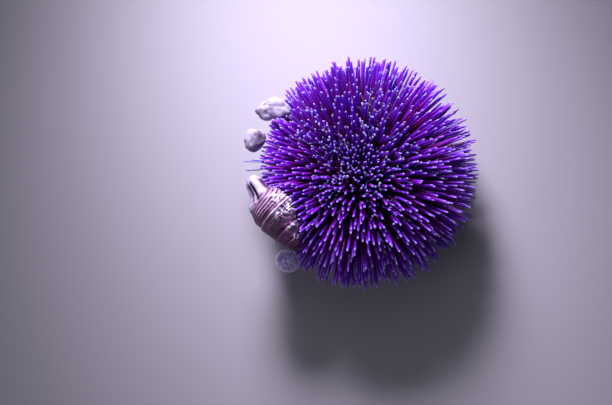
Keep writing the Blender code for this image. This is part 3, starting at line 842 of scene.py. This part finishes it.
def freeRun(start, way, length, room):
    # How far a straight piece may run before it comes near the cover, or would lie on top of it
    start, way = Vector(start), Vector(way)
    shortest, longest = coverRoom["steps"]
    for tree in coverSurfaces.values():
        if tree.find_nearest(start)[3] > length + coverRoom["near"]:
            continue
        run = 0.0
        while run < length:
            spot = start + way * run
            gap = tree.find_nearest(spot)[3]
            if gap < room or tree.ray_cast(spot, coverRoom["look"], coverRoom["under"])[0]:
                break
            run += min(max(shortest, gap - room), longest)
        length = min(length, run)
    return length


def leanAway(place, way, length, room):
    # A spine that would run into the cover is pushed aside, as far as it must be
    best, bestRun = way, freeRun(place, way, length, room)
    if bestRun >= length:
        return way, length
    side = Vector(way).orthogonal().normalized()
    for tilt in coverRoom["tilts"]:
        for number in range(coverRoom["sides"]):
            spoke = Matrix.Rotation(number * math.tau / coverRoom["sides"], 3, Vector(way)) @ side
            tried = unit(np.array(way) + np.array(spoke) * tilt)
            run = freeRun(place, tried, length, room)
            if run > bestRun * coverRoom["gain"]:
                best, bestRun = tried, run
        if bestRun >= length:
            break
    return best, bestRun


def withinBox(place, way, length, tipRadius):
    # A spine ends at the floor and at the sides of the whole part's box
    for low, high, at, go in zip(cadLow, cadHigh, place, way):
        girth = tipRadius * math.sqrt(max(0.0, 1 - go**2))
        if go < -0.02:
            length = min(length, (at - low - girth) / -go)
        elif go > 0.02:
            length = min(length, (high - girth - 0.1 * mm - at) / go)
    return length


# Spines

spine = {
    "longest": 20.3 * mm,
    # Length as a share of the longest, by the place from crown to mouth in degrees
    "byPlace": ((0, 0.46), (25, 0.66), (60, 0.95), (90, 1.0), (115, 0.84), (140, 0.62), (180, 0.45)),
    "coverSide": 178,           # the spines are shorter on the side that holds the cover
    "coverSideWidth": 50,
    "coverSideLoss": 0.36,
    "spacing": 1.87 * mm,
    "rowMargin": 0.9 * mm,
    "rootJitter": 0.16,
    "lean": 0.085,
    "bend": 0.055,
    "lengthVariation": 0.085,
    "shortest": 2.0 * mm,
    "lift": 0.55 * mm,          # a spine stands on the ball of its tubercle
    "baseRadius": 0.60 * mm,
    "fullAt": 12 * mm,          # shorter spines are thinner too, down to a least share
    "leastGirth": 0.6,
    "girths": (0.86, 1.08),
    "tipShare": 0.68,
    "sides": 10,
    "ridge": 0.035,
    # Share of length and of the base radius: socket, milled ring, neck, shaft and blunt tip
    "profile": ((0.0, 0.60), (0.012, 0.92), (0.024, 1.28), (0.036, 1.28), (0.048, 0.96), (0.09, 0.93),
                (0.22, 1.0), (0.40, 0.98), (0.60, 0.91), (0.78, 0.83), (0.91, 0.75), (0.97, 0.66),
                (0.993, 0.44)),
    "seed": 5,
}


def spineLength(polar, azimuth):
    share = np.interp(np.degrees(polar), *zip(*spine["byPlace"]))
    off = (np.degrees(azimuth) - spine["coverSide"] + 180) % 360 - 180
    return spine["longest"] * share * (1 - spine["coverSideLoss"] * bell(off, spine["coverSideWidth"]))


def smallLength(polar, azimuth):
    return (4.2 + 3.6 * np.sin(polar)) * mm


def sameLength(length, polar, azimuth):
    return np.full(len(polar), length)


def rootRows(edges, shape):
    # Staggered rows of roots in one zone, from crown to mouth
    spacing, margin = shape["spacing"], shape["rowMargin"]
    rows = max(2, round((mouthTravel - crownTravel - 2 * margin) / spacing) + 1)
    found = []
    for row, travel in enumerate(np.linspace(crownTravel + margin, mouthTravel - margin, rows)):
        polar = polarAt(travel)
        width = edges[1] - edges[0]
        count = max(1, round(float(outline(polar)[0]) * width / spacing))
        for column in range(count):
            share = (column + 0.5 + (row * 0.618 % 1 - 0.5) * 0.9) / count
            polarShift, azimuthShift = dice.normal(0, spine["rootJitter"], 2) * spacing / test["radius"]
            found.append((polar + polarShift, edges[0] + width * share + azimuthShift))
    return np.array(found)


def spineSet(roots, shape, unwrap):
    # The spines that stand on these roots, from a shape dictionary and the way to unwrap them
    polar, azimuth = roots.T
    place, way = fanned(polar, azimuth)
    way = unit(way + dice.normal(0, shape["lean"], way.shape))
    change = dice.uniform(-1, 1, len(polar)) * shape["lengthVariation"]
    length = shape["length"](polar, azimuth) * (1 + change)
    tipRadius = shape["baseRadius"] * shape["tipShare"]
    keep = []
    for i in range(len(polar)):
        way[i], length[i] = leanAway(place[i], way[i], length[i], shape["baseRadius"] * 1.1)
        length[i] = withinBox(place[i], way[i], length[i], tipRadius)
        if length[i] > shape["shortest"]:
            keep.append(i)
    place, way, length, polar, azimuth = (v[keep] for v in (place, way, length, polar, azimuth))
    share, radius = np.array(shape["profile"]).T
    curve = unit(np.cross(way, dice.normal(0, 1, way.shape)))
    sag = length * shape["bend"] * dice.uniform(0.1, 1, len(length))
    bow = (share**2 - share)[None, :, None] * (curve * sag[:, None])[:, None]
    rise = shape["lift"] + (length[:, None] - shape["lift"]) * share
    paths = place[:, None] + way[:, None] * rise[..., None] + bow
    paths[..., 2] = np.maximum(paths[..., 2], tipRadius * 0.9)
    thick = shape["baseRadius"] * dice.uniform(*spine["girths"], len(length))
    radii = radius * (thick * np.clip(length / shape["fullAt"], spine["leastGirth"], 1))[:, None]
    tone = dice.uniform(0, 1, len(length)) ** 1.4
    made = tubes(paths, radii, shape["sides"], unwrap(polar, azimuth), tone, shape["ridge"])
    return made, place, polar, azimuth


primary = dict(spine, length=spineLength)
small = {
    "spacing": 1.25 * mm,
    "rowMargin": 0.8 * mm,
    "length": smallLength,
    "lengthVariation": 0.35,
    "lean": 0.16,
    "bend": 0.05,
    "baseRadius": 0.30 * mm,
    "tipShare": 0.6,
    "sides": 7,
    "ridge": 0.0,
    "shortest": 1.2 * mm,
    "lift": 0.25 * mm,
    "fullAt": 4 * mm,
    "profile": ((0.0, 0.8), (0.05, 1.45), (0.09, 1.3), (0.14, 0.95), (0.5, 0.9), (0.85, 0.7), (0.97, 0.5)),
    "apart": 0.88 * mm,
}
tubercle = {
    "radius": 0.98 * mm,
    "height": 0.62 * mm,
    "sides": 8,
    # Height and radius as shares: the boss, its neck and the ball on it
    "profile": ((-0.30, 1.05), (0.05, 0.98), (0.32, 0.80), (0.52, 0.56), (0.60, 0.44), (0.66, 0.47),
                (0.80, 0.44), (0.92, 0.28)),
}
smallTubercle = dict(
    tubercle, sides=5, profile=((-0.30, 1.05), (0.35, 0.80), (0.60, 0.44), (0.75, 0.46), (0.92, 0.28)))


def tubercles(place, polar, azimuth, shape, scale, unwrap):
    rise, radius = np.array(shape["profile"]).T * scale
    square = onTest(polar, azimuth)[1]
    paths = place[:, None] + square[:, None] * (rise * shape["height"])[:, None]
    radii = np.broadcast_to(radius * shape["radius"], (len(place), len(radius)))
    return tubes(paths, radii, shape["sides"], unwrap(polar, azimuth))


dice = np.random.default_rng(spine["seed"])
bosses = {"tubercles_ambulacra": [], "tubercles_interambulacra": [], "tubercles_small": []}
spineTotal, smallTotal = 0, 0
primaryRoots = [rootRows(edges, primary) for edges in zoneEdges]
allPrimary = onTest(*np.concatenate(primaryRoots).T)[0]
primaryTree = KDTree(len(allPrimary))
for i, spot in enumerate(allPrimary):
    primaryTree.insert(spot, i)
primaryTree.balance()

for zoneName, edges, roots in zip(zoneNames, zoneEdges, primaryRoots):
    unwrap = partial(gore, edges=edges)
    long, *longRoots = spineSet(roots, primary, unwrap)
    smallRoots = rootRows(edges, small)
    clear = [primaryTree.find(spot)[2] > small["apart"] for spot in onTest(*smallRoots.T)[0]]
    short, *shortRoots = spineSet(smallRoots[clear], small, unwrap)
    addPiece(makeMesh("spines_" + zoneName, *joined([long, short])), spineLook, "violet_spines", zoneName)
    label = "tubercles_ambulacra" if zoneName.startswith("amb") else "tubercles_interambulacra"
    bosses[label].append(tubercles(*longRoots, tubercle, 1.0, disc))
    bosses["tubercles_small"].append(tubercles(*shortRoots, smallTubercle, 0.42, disc))
    spineTotal, smallTotal = spineTotal + len(longRoots[0]), smallTotal + len(shortRoots[0])
for label, parts in bosses.items():
    addPiece(makeMesh(label, *joined(parts)), tubercleLook, "violet_spines")
print("spines made:", spineTotal, "long and", smallTotal, "short")


# The skin of the test

skin = {
    "columns": 400,
    "rows": 240,
    "plateRows": 26,
    "plateGroove": 0.10 * mm,
    "grooveShare": 0.16,
    "zoneGroove": 0.35 * mm,    # half the width of the groove between two zones
    "sunk": 0.02 * mm,
}


def addSkin():
    low = travelAt(crownPolar * 0.9)        # it runs in under the crown
    values = {}

    def place(turn, along):
        polar, azimuth = polarAt(low + (mouthTravel - low) * along), turn * math.tau
        spot, square = onTest(polar, azimuth)
        seam = np.abs(np.sin(along * skin["plateRows"] * math.pi))
        offs = [(azimuth - start + math.pi) % math.tau - math.pi for start, _ in zoneEdges]
        edgeGap = np.abs(offs).min(0) * outline(polar)[0]
        groove = np.clip(bell(seam, skin["grooveShare"]) + bell(edgeGap, skin["zoneGroove"]), 0, 1)
        values["flat"] = disc(polar.ravel(), azimuth.ravel())
        return spot - square * (skin["sunk"] + skin["plateGroove"] * groove)[..., None]

    verts, faces = grid(place, skin["columns"], skin["rows"], flip=True)
    mesh = makeMesh("testSkin", verts, faces, maps={"OFBake": values["flat"][faces[0].ravel()]})
    return addPiece(mesh, skinLook, "violet_spines", *zoneNames)


addSkin()
print("skin made")

# The crown: five plates with a pore each, five small ones between them, and loose plates round the vent

crown = {
    "radius": 5.75 * mm,
    "rimRadius": 5.875 * mm,        # where the unwrap of the crown ends
    "rise": 0.55 * mm,
    # Count, distance from the axis in mm, first angle and size of the plates in each ring
    "plates": ((5, 3.35, 39, 1.0), (5, 4.95, 3, 0.75), (11, 1.75, 20, 0.55), (5, 0.85, 0, 0.45)),
    "seam": 0.16 * mm,
    "depth": 0.22 * mm,
    "ventRadius": 0.45 * mm,
    "ventDepth": 0.5 * mm,
    # A pore in each large plate, and the first of those plates is higher and finely pierced
    "firstPore": 39,
    "poreAt": 4.25 * mm,
    "poreRadius": 0.18 * mm,
    "poreDepth": 0.3 * mm,
    "sieveAt": 3.3 * mm,
    "sieveRadius": 1.0 * mm,
    "sieveRise": 0.22 * mm,
    "sievePits": 0.05 * mm,
    "sievePitch": 24000,
    "columns": 260,
    "rows": 90,
    # Distance from the axis in mm, count and length in mm, and the short spines without a length
    "spineRings": ((5.2, 21, 9.6), (4.4, 15, 9.9), (3.5, 13, 9.6), (2.55, 9, 9.2), (1.5, 5, 8.6)),
    "smallRings": ((4.8, 20), (4.0, 16), (3.0, 12), (2.1, 8)),
}


def crownFlat(polar, azimuth):
    return flatRound(test["radius"] * np.sin(polar) / crown["rimRadius"], azimuth)


def crownRing(radius, count, jitter, turn):
    # Roots evenly round the crown, apart from a random share of their spacing
    azimuth = (np.arange(count) + dice.uniform(-jitter, jitter, count)) * math.tau / count + turn
    return np.stack([np.full(count, math.asin(radius * mm / test["radius"])), azimuth], -1)


def addCrown():
    sites, sizes = [], []
    for count, radius, start, size in crown["plates"]:
        for i in range(count):
            sites.append(bearing(math.radians(start + 360 * i / count))[0][:2] * radius * mm)
            sizes.append(size * 0.7 * mm)
    sites = np.array(sites)
    rim = float(outline(crownPolar)[1])
    poreWays = [bearing(math.radians(crown["firstPore"] + zoneTurn * i))[0] for i in range(test["zones"])]

    def place(turn, share):
        radius, azimuth = crown["radius"] * (1 - 0.985 * share), turn * math.tau
        x, y = radius * np.cos(azimuth), radius * np.sin(azimuth)

        def away(way, distance):
            return np.hypot(x - distance * way[0], y - distance * way[1])

        near = np.hypot(x[..., None] - sites[:, 0], y[..., None] - sites[:, 1]) - sizes
        near.sort(-1)
        height = rim + crown["rise"] * (1 - (radius / crown["radius"]) ** 2)
        height = height - crown["depth"] * bell(near[..., 1] - near[..., 0], crown["seam"])
        height = height - crown["ventDepth"] * bell(radius, crown["ventRadius"])
        for way in poreWays:
            height = height - crown["poreDepth"] * bell(away(way, crown["poreAt"]), crown["poreRadius"], 4)
        pits = np.sin(x * crown["sievePitch"]) * np.sin(y * crown["sievePitch"])
        sieve = bell(away(poreWays[0], crown["sieveAt"]), crown["sieveRadius"], 4)
        height = height + sieve * (crown["sieveRise"] + crown["sievePits"] * pits)
        return aroundAxis(radius, azimuth, height)

    verts, faces = grid(place, crown["columns"], crown["rows"], high=place(np.zeros(1), np.ones(1))[0])
    addPiece(makeMesh("crownPlates", verts, faces), crownLook, "crown_plates", "crown")
    parts, bossParts = [], []
    for radius, count, length in crown["spineRings"]:
        shape = dict(primary, length=partial(sameLength, length * mm), lengthVariation=0.06, lean=0.055)
        made, *roots = spineSet(crownRing(radius, count, 0.18, radius), shape, crownFlat)
        parts.append(made)
        bossParts.append(tubercles(*roots, tubercle, 0.8, crownFlat))
    for radius, count in crown["smallRings"]:
        parts.append(spineSet(crownRing(radius, count, 0.3, radius * 2), small, crownFlat)[0])
    addPiece(makeMesh("spines_crown", *joined(parts)), spineLook, "violet_spines", "crown")
    addPiece(makeMesh("tubercles_crown", *joined(bossParts)), tubercleLook, "crown_plates", "crown")


addCrown()
print("crown made")


# The mouth: a wrinkled membrane with small plates, a lip, ten short feet and ten gills, and five teeth

mouth = {
    # From the rim inwards: distance from the axis and height from the rim, in mm
    "path": ((8.80, 0.05), (8.30, -0.20), (7.40, -0.55), (5.60, -0.92), (4.40, -0.86), (3.80, -1.06),
             (3.30, -1.22), (2.95, -1.00), (2.78, -0.30), (2.75, 2.30)),
    "columns": 260,
    "rows": 110,
    "wrinkle": 0.16 * mm,
    "foldTurns": 3.2,
    "foldRows": 1.3,            # for each mm
    "fold": 0.8,
    "plateScale": 1500,
    "plateEdge": 0.35,
    "plate": 1.2,
    "smoothWithin": 2.9 * mm,
    "feet": {
        "radii": (0.55, 0.46, 0.42, 0.40, 0.40, 0.39, 0.38, 0.38, 0.40, 0.55, 0.72, 0.70),
        "side": 8.5,            # degrees from the middle of the ambulacrum
        "at": 5.5 * mm,
        "sunk": 0.8 * mm,
        "length": 1.9 * mm,
        "bend": 0.5 * mm,
    },
    "gills": {
        "radii": (0.24, 0.13),
        "side": 17,
        "at": 8.1 * mm,
        "sunk": 0.3 * mm,
        "length": 1.5 * mm,
        "bend": 0.4 * mm,
        "branches": 7,
    },
    "rings": 12,
    "seed": 40.0,
}
toothShape = {
    # Share along the tooth, then in mm: distance from the axis, height from the rim, half width and
    # half thickness
    "levels": ((0.0, 1.75, 2.1, 0.95, 0.62), (0.35, 1.75, 0.3, 0.95, 0.60), (0.6, 1.55, -0.8, 0.90, 0.50),
               (0.82, 1.15, -1.8, 0.72, 0.34), (0.95, 0.80, -2.4, 0.46, 0.17), (1.0, 0.70, -2.6, 0.36, 0.09)),
    "firstAngle": 36,
    "columns": 40,
    "rows": 48,
}
mouthRim = float(outline(mouthPolar)[1])
upward = np.array([0.0, 0, 1])


def addMembrane():
    path = np.array(mouth["path"]) * mm
    travel = shareAlong(path)

    def place(turn, along):
        radius, height = (np.interp(along, travel, path[:, i]) for i in (0, 1))
        return aroundAxis(radius, turn * math.tau, mouthRim + height)

    verts, faces = grid(place, mouth["columns"], mouth["rows"], flip=True)
    drift = Vector((mouth["seed"],) * 3)
    for vert in verts:
        off = vert[:2] - axis
        radius, azimuth = float(np.hypot(*off)), math.atan2(off[1], off[0])
        spot = Vector((*(bearing(azimuth)[0][:2] * mouth["foldTurns"]), radius / mm * mouth["foldRows"]))
        fold = noise.fractal(spot + drift, 0.9, 2.1, 4) * mouth["fold"]
        cells = noise.voronoi(Vector(vert) * mouth["plateScale"])[0]
        plate = min(cells[1] - cells[0], mouth["plateEdge"]) * mouth["plate"]
        vert[2] -= (fold + plate) * mouth["wrinkle"] * fadeIn(radius - mouth["smoothWithin"], 0.4 * mm)
    addPiece(makeMesh("mouthMembrane", verts, faces), membraneLook, "mouth_membrane", "mouth_membrane")


def addMouthFeet():
    # Two short feet and two gills at each ambulacrum. A gill is a small branched tuft at the rim.
    feet, gills, routes, radii = mouth["feet"], mouth["gills"], [], []
    share = np.linspace(0, 1, mouth["rings"])[:, None]
    for zone in range(test["zones"]):
        for side in (-1, 1):
            zoneMiddle = test["firstAmbulacrum"] + zoneTurn * zone
            way, _ = bearing(math.radians(zoneMiddle + side * feet["side"]))
            root = np.array([*axis, mouthRim - feet["sunk"]]) + way * feet["at"]
            routes.append(root - upward * feet["length"] * share + way * feet["bend"] * share**2)
            radii.append(np.array(feet["radii"]) * mm)
            way, across = bearing(math.radians(zoneMiddle + side * gills["side"]))
            root = np.array([*axis, mouthRim - gills["sunk"]]) + way * gills["at"]
            for _ in range(gills["branches"]):
                lean = dice.uniform(-0.8, 0.8, 2)
                aim = unit(-upward + across * lean[0] + way * (0.4 + 0.4 * lean[1]))
                bend = across * lean[1] * gills["bend"] * share**2
                routes.append(root + aim * gills["length"] * share + bend)
                radii.append(np.linspace(*gills["radii"], mouth["rings"]) * mm)
    routes = np.array(routes)
    centred = 0.5 + (routes[:, 0, :2] - axis) / (9 * mm) * test["unwrapHalf"]
    addPiece(makeMesh("mouthFeet", *tubes(routes, np.array(radii), 10, centred)), footLook, "mouth_membrane",
             "mouth_membrane")


def addTooth(number):
    share, radius, height, width, thick = np.array(toothShape["levels"]).T
    way, across = bearing(math.radians(toothShape["firstAngle"] + zoneTurn * number))
    centre = np.array([*axis, mouthRim])

    def place(turn, along):
        cosine, sine = np.cos(turn * math.tau), np.sin(turn * math.tau)
        out, up, half, deep = (np.interp(along, share, level) for level in (radius, height, width, thick))
        inner = np.clip(-cosine, 0, 1)
        keel = 1 + 0.9 * inner**6 * (1 - along) * 0.6
        out = out + np.sign(cosine) * np.abs(cosine) ** 0.8 * deep * keel + 0.012 * np.sin(along * 150)
        sideways = np.sign(sine) * np.abs(sine) ** 0.7 * half * (1 - 0.25 * inner)
        return centre + mm * (way * out[..., None] + across * sideways[..., None] + upward * up[..., None])

    ends = (centre + mm * (way * radius[end] + upward * height[end]) for end in (0, -1))
    verts, faces = grid(place, toothShape["columns"], toothShape["rows"], True, *ends)
    addPiece(makeMesh(f"tooth_{number + 1}_enamel", verts, faces), toothLook, "teeth", f"tooth_{number + 1}")


addMembrane()
addMouthFeet()
for number in range(test["zones"]):
    addTooth(number)
print("mouth made")


# Tube feet, from pairs of pores in the five narrow zones

foot = {
    # Share of length and radius in mm, out to the sucker
    "profile": ((0, 0.30), (0.04, 0.24), (0.10, 0.20), (0.18, 0.18), (0.27, 0.17), (0.37, 0.16), (0.47, 0.16),
                (0.57, 0.155), (0.67, 0.15), (0.77, 0.15), (0.86, 0.145), (0.93, 0.14), (0.965, 0.17),
                (0.98, 0.30), (0.992, 0.44), (1.0, 0.42)),
    "sides": 8,
    "rowGap": 2.35 * mm,
    "margins": (1.2 * mm, 2.0 * mm),
    "arc": ((0.20, 0.0), (0.30, 0.63), (0.41, 1.19)),    # share of the zone's width from its middle, mm along
    "reach": (0.45, 0.98),
    "shortest": 2.5 * mm,
    "sway": 0.22,
    "bendAt": 0.55,
    "room": 0.8 * mm,
    "tipRoom": 0.5 * mm,
    "aimSpread": 1.6 * mm,
    "edgeGap": 0.6 * mm,
    # Root polar angle and azimuth in degrees of the feet that hold each thing
    "holding": {
        "cover_stone_large": ((60, 139), (66, 146), (74, 138), (82, 144), (64, 151), (76, 151), (90, 147)),
        "cover_stone_small": ((72, 156), (80, 160), (92, 158), (86, 153), (98, 160)),
        "cover_whelk_shell": ((48, 208), (52, 213), (60, 219), (74, 208), (50, 228), (66, 226), (44, 220),
                              (82, 212), (58, 206)),
        "cover_limpet_shell": ((88, 229), (94, 227), (100, 225), (92, 231)),
    },
    # Roots of the feet that reach past the spines, and where they end, in mm from the middle of the ring
    "reaching": (
        ((70, 160), (-46.4, 3.6, 6.0)), ((84, 160.5), (-45.6, 0.6, 3.0)), ((76, 158), (-43.5, 4.4, 5.0)),
        ((60, 75), (33.6, 33.0, 9.0)), ((58, 5), (38.0, 18.4, 12.0)), ((28, 5), (18.5, -9.0, 23.0)),
        ((34, 12), (14.5, -4.5, 26.5)), ((30, 291), (6.5, -11.0, 26.5)), ((24, 147), (-8.0, -3.0, 28.5)),
        ((22, 3), (11.5, -7.5, 27.5)), ((26, 75), (14.0, 9.5, 27.5)), ((32, 147), (-14.5, -2.5, 26.0)),
    ),
    "reachingGirth": 2.1,
    "reachingMost": 0.36 * mm,      # their ends are drawn out, with no wide sucker
}


def footRows(centre, width):
    # Arcs of three pores on both sides of an ambulacrum's middle
    first, last = foot["margins"]
    return np.array([
        (polarAt(travel + along * mm), centre + side * out * width)
        for travel in np.arange(crownTravel + first, mouthTravel - last, foot["rowGap"])
        for side in (-1, 1)
        for out, along in foot["arc"]
    ])


def holdingFeet(edges):
    # Start, turning point, end and root of each foot that holds a piece of the cover
    for node, given in foot["holding"].items():
        tree, target = coverSurfaces[node], np.mean([v.co[:] for v in coverPieces[node].data.vertices], 0)
        for root in np.radians(given):
            if edges[0] < root[1] < edges[1]:
                spot, square = fanned(*root)
                aim = unit(target + dice.normal(0, foot["aimSpread"], 3) - spot)
                hit = tree.ray_cast(Vector(spot), Vector(aim))[0]
                if hit:
                    yield spot, spot + square * (hit - Vector(spot)).length * 0.5, np.array(hit), root


def reachingFeet(centre, width):
    for given, aimed in foot["reaching"]:
        root = np.radians(given)
        off = math.remainder(root[1] - centre, math.tau)
        if abs(off) <= width / 2:
            spot, finish = onTest(*root)[0], np.array(middle) + np.array(aimed) * mm
            back = unit(np.array(middle) - finish) * np.linalg.norm(finish - spot) * foot["bendAt"]
            yield spot, finish + back, finish, np.array([root[0], centre + off])


def addFeet(zone):
    edges = zoneEdges[2 * zone]
    centre, width = sum(edges) / 2, edges[1] - edges[0]
    roots = footRows(centre, width)
    start, way = fanned(*roots.T)
    aim = unit(way + dice.normal(0, foot["sway"], way.shape))
    length = spineLength(*roots.T) * dice.uniform(*foot["reach"], len(roots))
    for i in range(len(start)):
        run = freeRun(start[i], aim[i], length[i], foot["room"])
        length[i] = withinBox(start[i], aim[i], run, foot["tipRoom"])
    keep = length > foot["shortest"]
    start, way, aim, roots, length = start[keep], way[keep], aim[keep], roots[keep], length[keep][:, None]
    holding, reaching = list(holdingFeet(edges)), list(reachingFeet(centre, width))
    plain = zip(start, start + way * length * foot["bendAt"], start + aim * length, roots)
    start, turnAt, end, roots = (np.array(v) for v in zip(*plain, *holding, *reaching))
    share, radius = np.array(foot["profile"]).T
    share = share[:, None]
    bent = start[:, None] * (1 - share) ** 2 + 2 * turnAt[:, None] * share * (1 - share)
    routes = bent + end[:, None] * share**2
    routes = np.clip(routes, np.array([*cadLow]) + foot["edgeGap"], np.array([*cadHigh]) - foot["edgeGap"])
    girth = np.ones(len(routes))
    girth[len(routes) - len(reaching):] = foot["reachingGirth"]
    radii = radius * mm * (girth * dice.uniform(0.85, 1.15, len(routes)))[:, None]
    radii[girth > 1] = np.minimum(radii[girth > 1], foot["reachingMost"])
    made = tubes(routes, radii, foot["sides"], gore(*roots.T, edges))
    addPiece(makeMesh(f"tubeFeet_{zone + 1}", *made), footLook, "violet_spines", zoneNames[2 * zone])
    return len(routes)


footTotal = sum(addFeet(zone) for zone in range(test["zones"]))
print("tube feet made:", footTotal)


# Small stalked pincers between the spines

pincer = {
    "count": 330,
    "stalk": (2.6, 6.2),
    "shortest": 1.2 * mm,
    "stalkRadii": (0.1105, 0.085, 0.085, 0.085, 0.0935, 0.136),
    "bow": 0.5 * mm,
    "room": 1.0 * mm,
    "tipRoom": 0.3 * mm,
    "jaws": 3,
    "jawRoom": 1.2 * mm,
    "jawLength": 0.85 * mm,
    "jawRadii": (0.13, 0.20, 0.23, 0.20, 0.15, 0.07),
    "jawSpread": (0.0525, 0.1575, 0.21, 0.1995, 0.147, 0.0735),
    "jawTone": 0.75,        # where on the way along the whole pincer the jaws start
    "lean": 0.28,
    "edge": 0.04,
    "sides": 6,
}


def addPincers():
    # Spread evenly over the test, each a golden angle on from the one before
    numbers = np.arange(pincer["count"])
    travel = np.interp((numbers + 0.5) / len(numbers), np.cumsum(fineRadius) / fineRadius.sum(), fineTravel)
    polar, azimuth = polarAt(travel), numbers * math.pi * (3 - math.sqrt(5))
    keep = (polar > crownPolar + pincer["edge"]) & (polar < mouthPolar - pincer["edge"])
    polar, azimuth = polar[keep], azimuth[keep]
    start, way = fanned(polar, azimuth)
    way = unit(way + dice.normal(0, pincer["lean"], way.shape))
    length = dice.uniform(*pincer["stalk"], len(polar)) * mm
    for i in range(len(start)):
        withJaws = withinBox(start[i], way[i], length[i] + pincer["jawRoom"], pincer["tipRoom"])
        length[i] = min(withJaws - pincer["jawRoom"], freeRun(start[i], way[i], length[i], pincer["room"]))
    keep = length > pincer["shortest"]
    start, way, length, flat = start[keep], way[keep], length[keep], disc(polar[keep], azimuth[keep])
    share = np.linspace(0, 1, len(pincer["jawRadii"]))[:, None]
    bow = unit(np.cross(way, dice.normal(0, 1, way.shape)))[:, None] * share**2 * pincer["bow"]
    routes = start[:, None] + way[:, None] * length[:, None, None] * share + bow
    stalkRadii, jawRadii = (np.tile(np.array(pincer[radii]) * mm, (len(start), 1))
                            for radii in ("stalkRadii", "jawRadii"))
    parts = [tubes(routes, stalkRadii, pincer["sides"], flat)]
    tip = unit(routes[:, -1] - routes[:, -2])
    side = unit(np.cross(tip, [[0.31, 0.52, 0.79]]))
    front = np.cross(tip, side)
    spread = np.array(pincer["jawSpread"])[:, None] * mm
    for jaw in range(pincer["jaws"]):
        turn = jaw * math.tau / pincer["jaws"]
        out = side * math.cos(turn) + front * math.sin(turn)
        route = routes[:, -1:] + tip[:, None] * share * pincer["jawLength"] + out[:, None] * spread
        made = tubes(route, jawRadii, pincer["sides"], flat)
        made[2]["lie"][:, 1] = pincer["jawTone"] + (1 - pincer["jawTone"]) * made[2]["lie"][:, 1]
        parts.append(made)
    addPiece(makeMesh("pincers", *joined(parts)), jawLook, "violet_spines")
    return len(start)


print("pincers made:", addPincers())


# Camera, lights and floor

stage = {
    "elevation": 78,
    "frame": (612, 405),
    "urchinAt": (360, 173.5),     # where the body's middle is in that frame
    "pixel": 0.4 * mm,
    "distance": 0.62,
    "sensor": 36,
    "floorColour": (0.36, 0.35, 0.36),
    "floorHalf": 3,
    "worldColour": (0.80, 0.80, 1.0),
    "worldStrength": 0.10,
    # Place, aim, size, power, colour and spread in degrees
    "lights": {
        "keyLight": ((-0.07, 0.265, 0.195), (-0.012, 0.042, 0.025), 0.12, 0.40, (0.84, 0.76, 1.0), 52),
        "softLight": ((-0.12, 0.5, 0.9), middle, 0.6, 0.65, (0.82, 0.80, 1.0), 180),
        "sideLight": ((-0.5, -0.22, 0.22), (-0.02, -0.01, 0.015), 0.4, 0.12, (0.82, 0.80, 1.0), 60),
    },
}


def aimAt(obj, place, way):
    obj.location = place
    obj.rotation_mode = "QUATERNION"
    obj.rotation_quaternion = way.to_track_quat("-Z", "Y")
    return obj


def addCamera():
    data = bpy.data.cameras.new("camera")
    tilt = math.radians(stage["elevation"])
    back = Vector((0, -math.cos(tilt), math.sin(tilt)))
    up = Vector((0, math.sin(tilt), math.cos(tilt)))
    right, above = ((at - size / 2) * stage["pixel"] for at, size in zip(stage["urchinAt"], stage["frame"]))
    data.sensor_width = stage["sensor"]
    data.lens = stage["sensor"] * stage["distance"] / (stage["frame"][0] * stage["pixel"])
    data.clip_start, data.clip_end = 0.01, 20
    place = middle + back * stage["distance"] - Vector((1, 0, 0)) * right + up * above
    bpy.context.scene.camera = aimAt(addObject("camera", data), place, -back)


def addLight(name, place, aim, size, power, colour, spread):
    data = bpy.data.lights.new(name, "AREA")
    data.size, data.energy, data.color, data.spread = size, power, colour, math.radians(spread)
    aimAt(addObject(name, data), place, Vector(aim) - Vector(place))


def addFloor():
    made, tree, _ = newMaterial("floor", 0.85)
    dark = [c * 0.97 for c in stage["floorColour"]]
    finished(made, clouds(tree, dark, stage["floorColour"], 4.0, 1.0))
    mesh, half = bpy.data.meshes.new("floor"), stage["floorHalf"]
    mesh.from_pydata([(-half, -half, 0), (half, -half, 0), (half, half, 0), (-half, half, 0)], [],
                     [(0, 1, 2, 3)])
    mesh.materials.append(made)
    addObject("floor", mesh)


def addWorld():
    world = bpy.data.worlds.new("world")
    world.use_nodes = True
    colour, strength = world.node_tree.nodes["Background"].inputs[:2]
    colour.default_value = (*stage["worldColour"], 1)
    strength.default_value = stage["worldStrength"]
    bpy.context.scene.world = world
    bpy.context.scene.view_settings.view_transform = "Standard"


addCamera()
addFloor()
addWorld()
for name, light in stage["lights"].items():
    addLight(name, *light)
print("camera, lights and floor made")
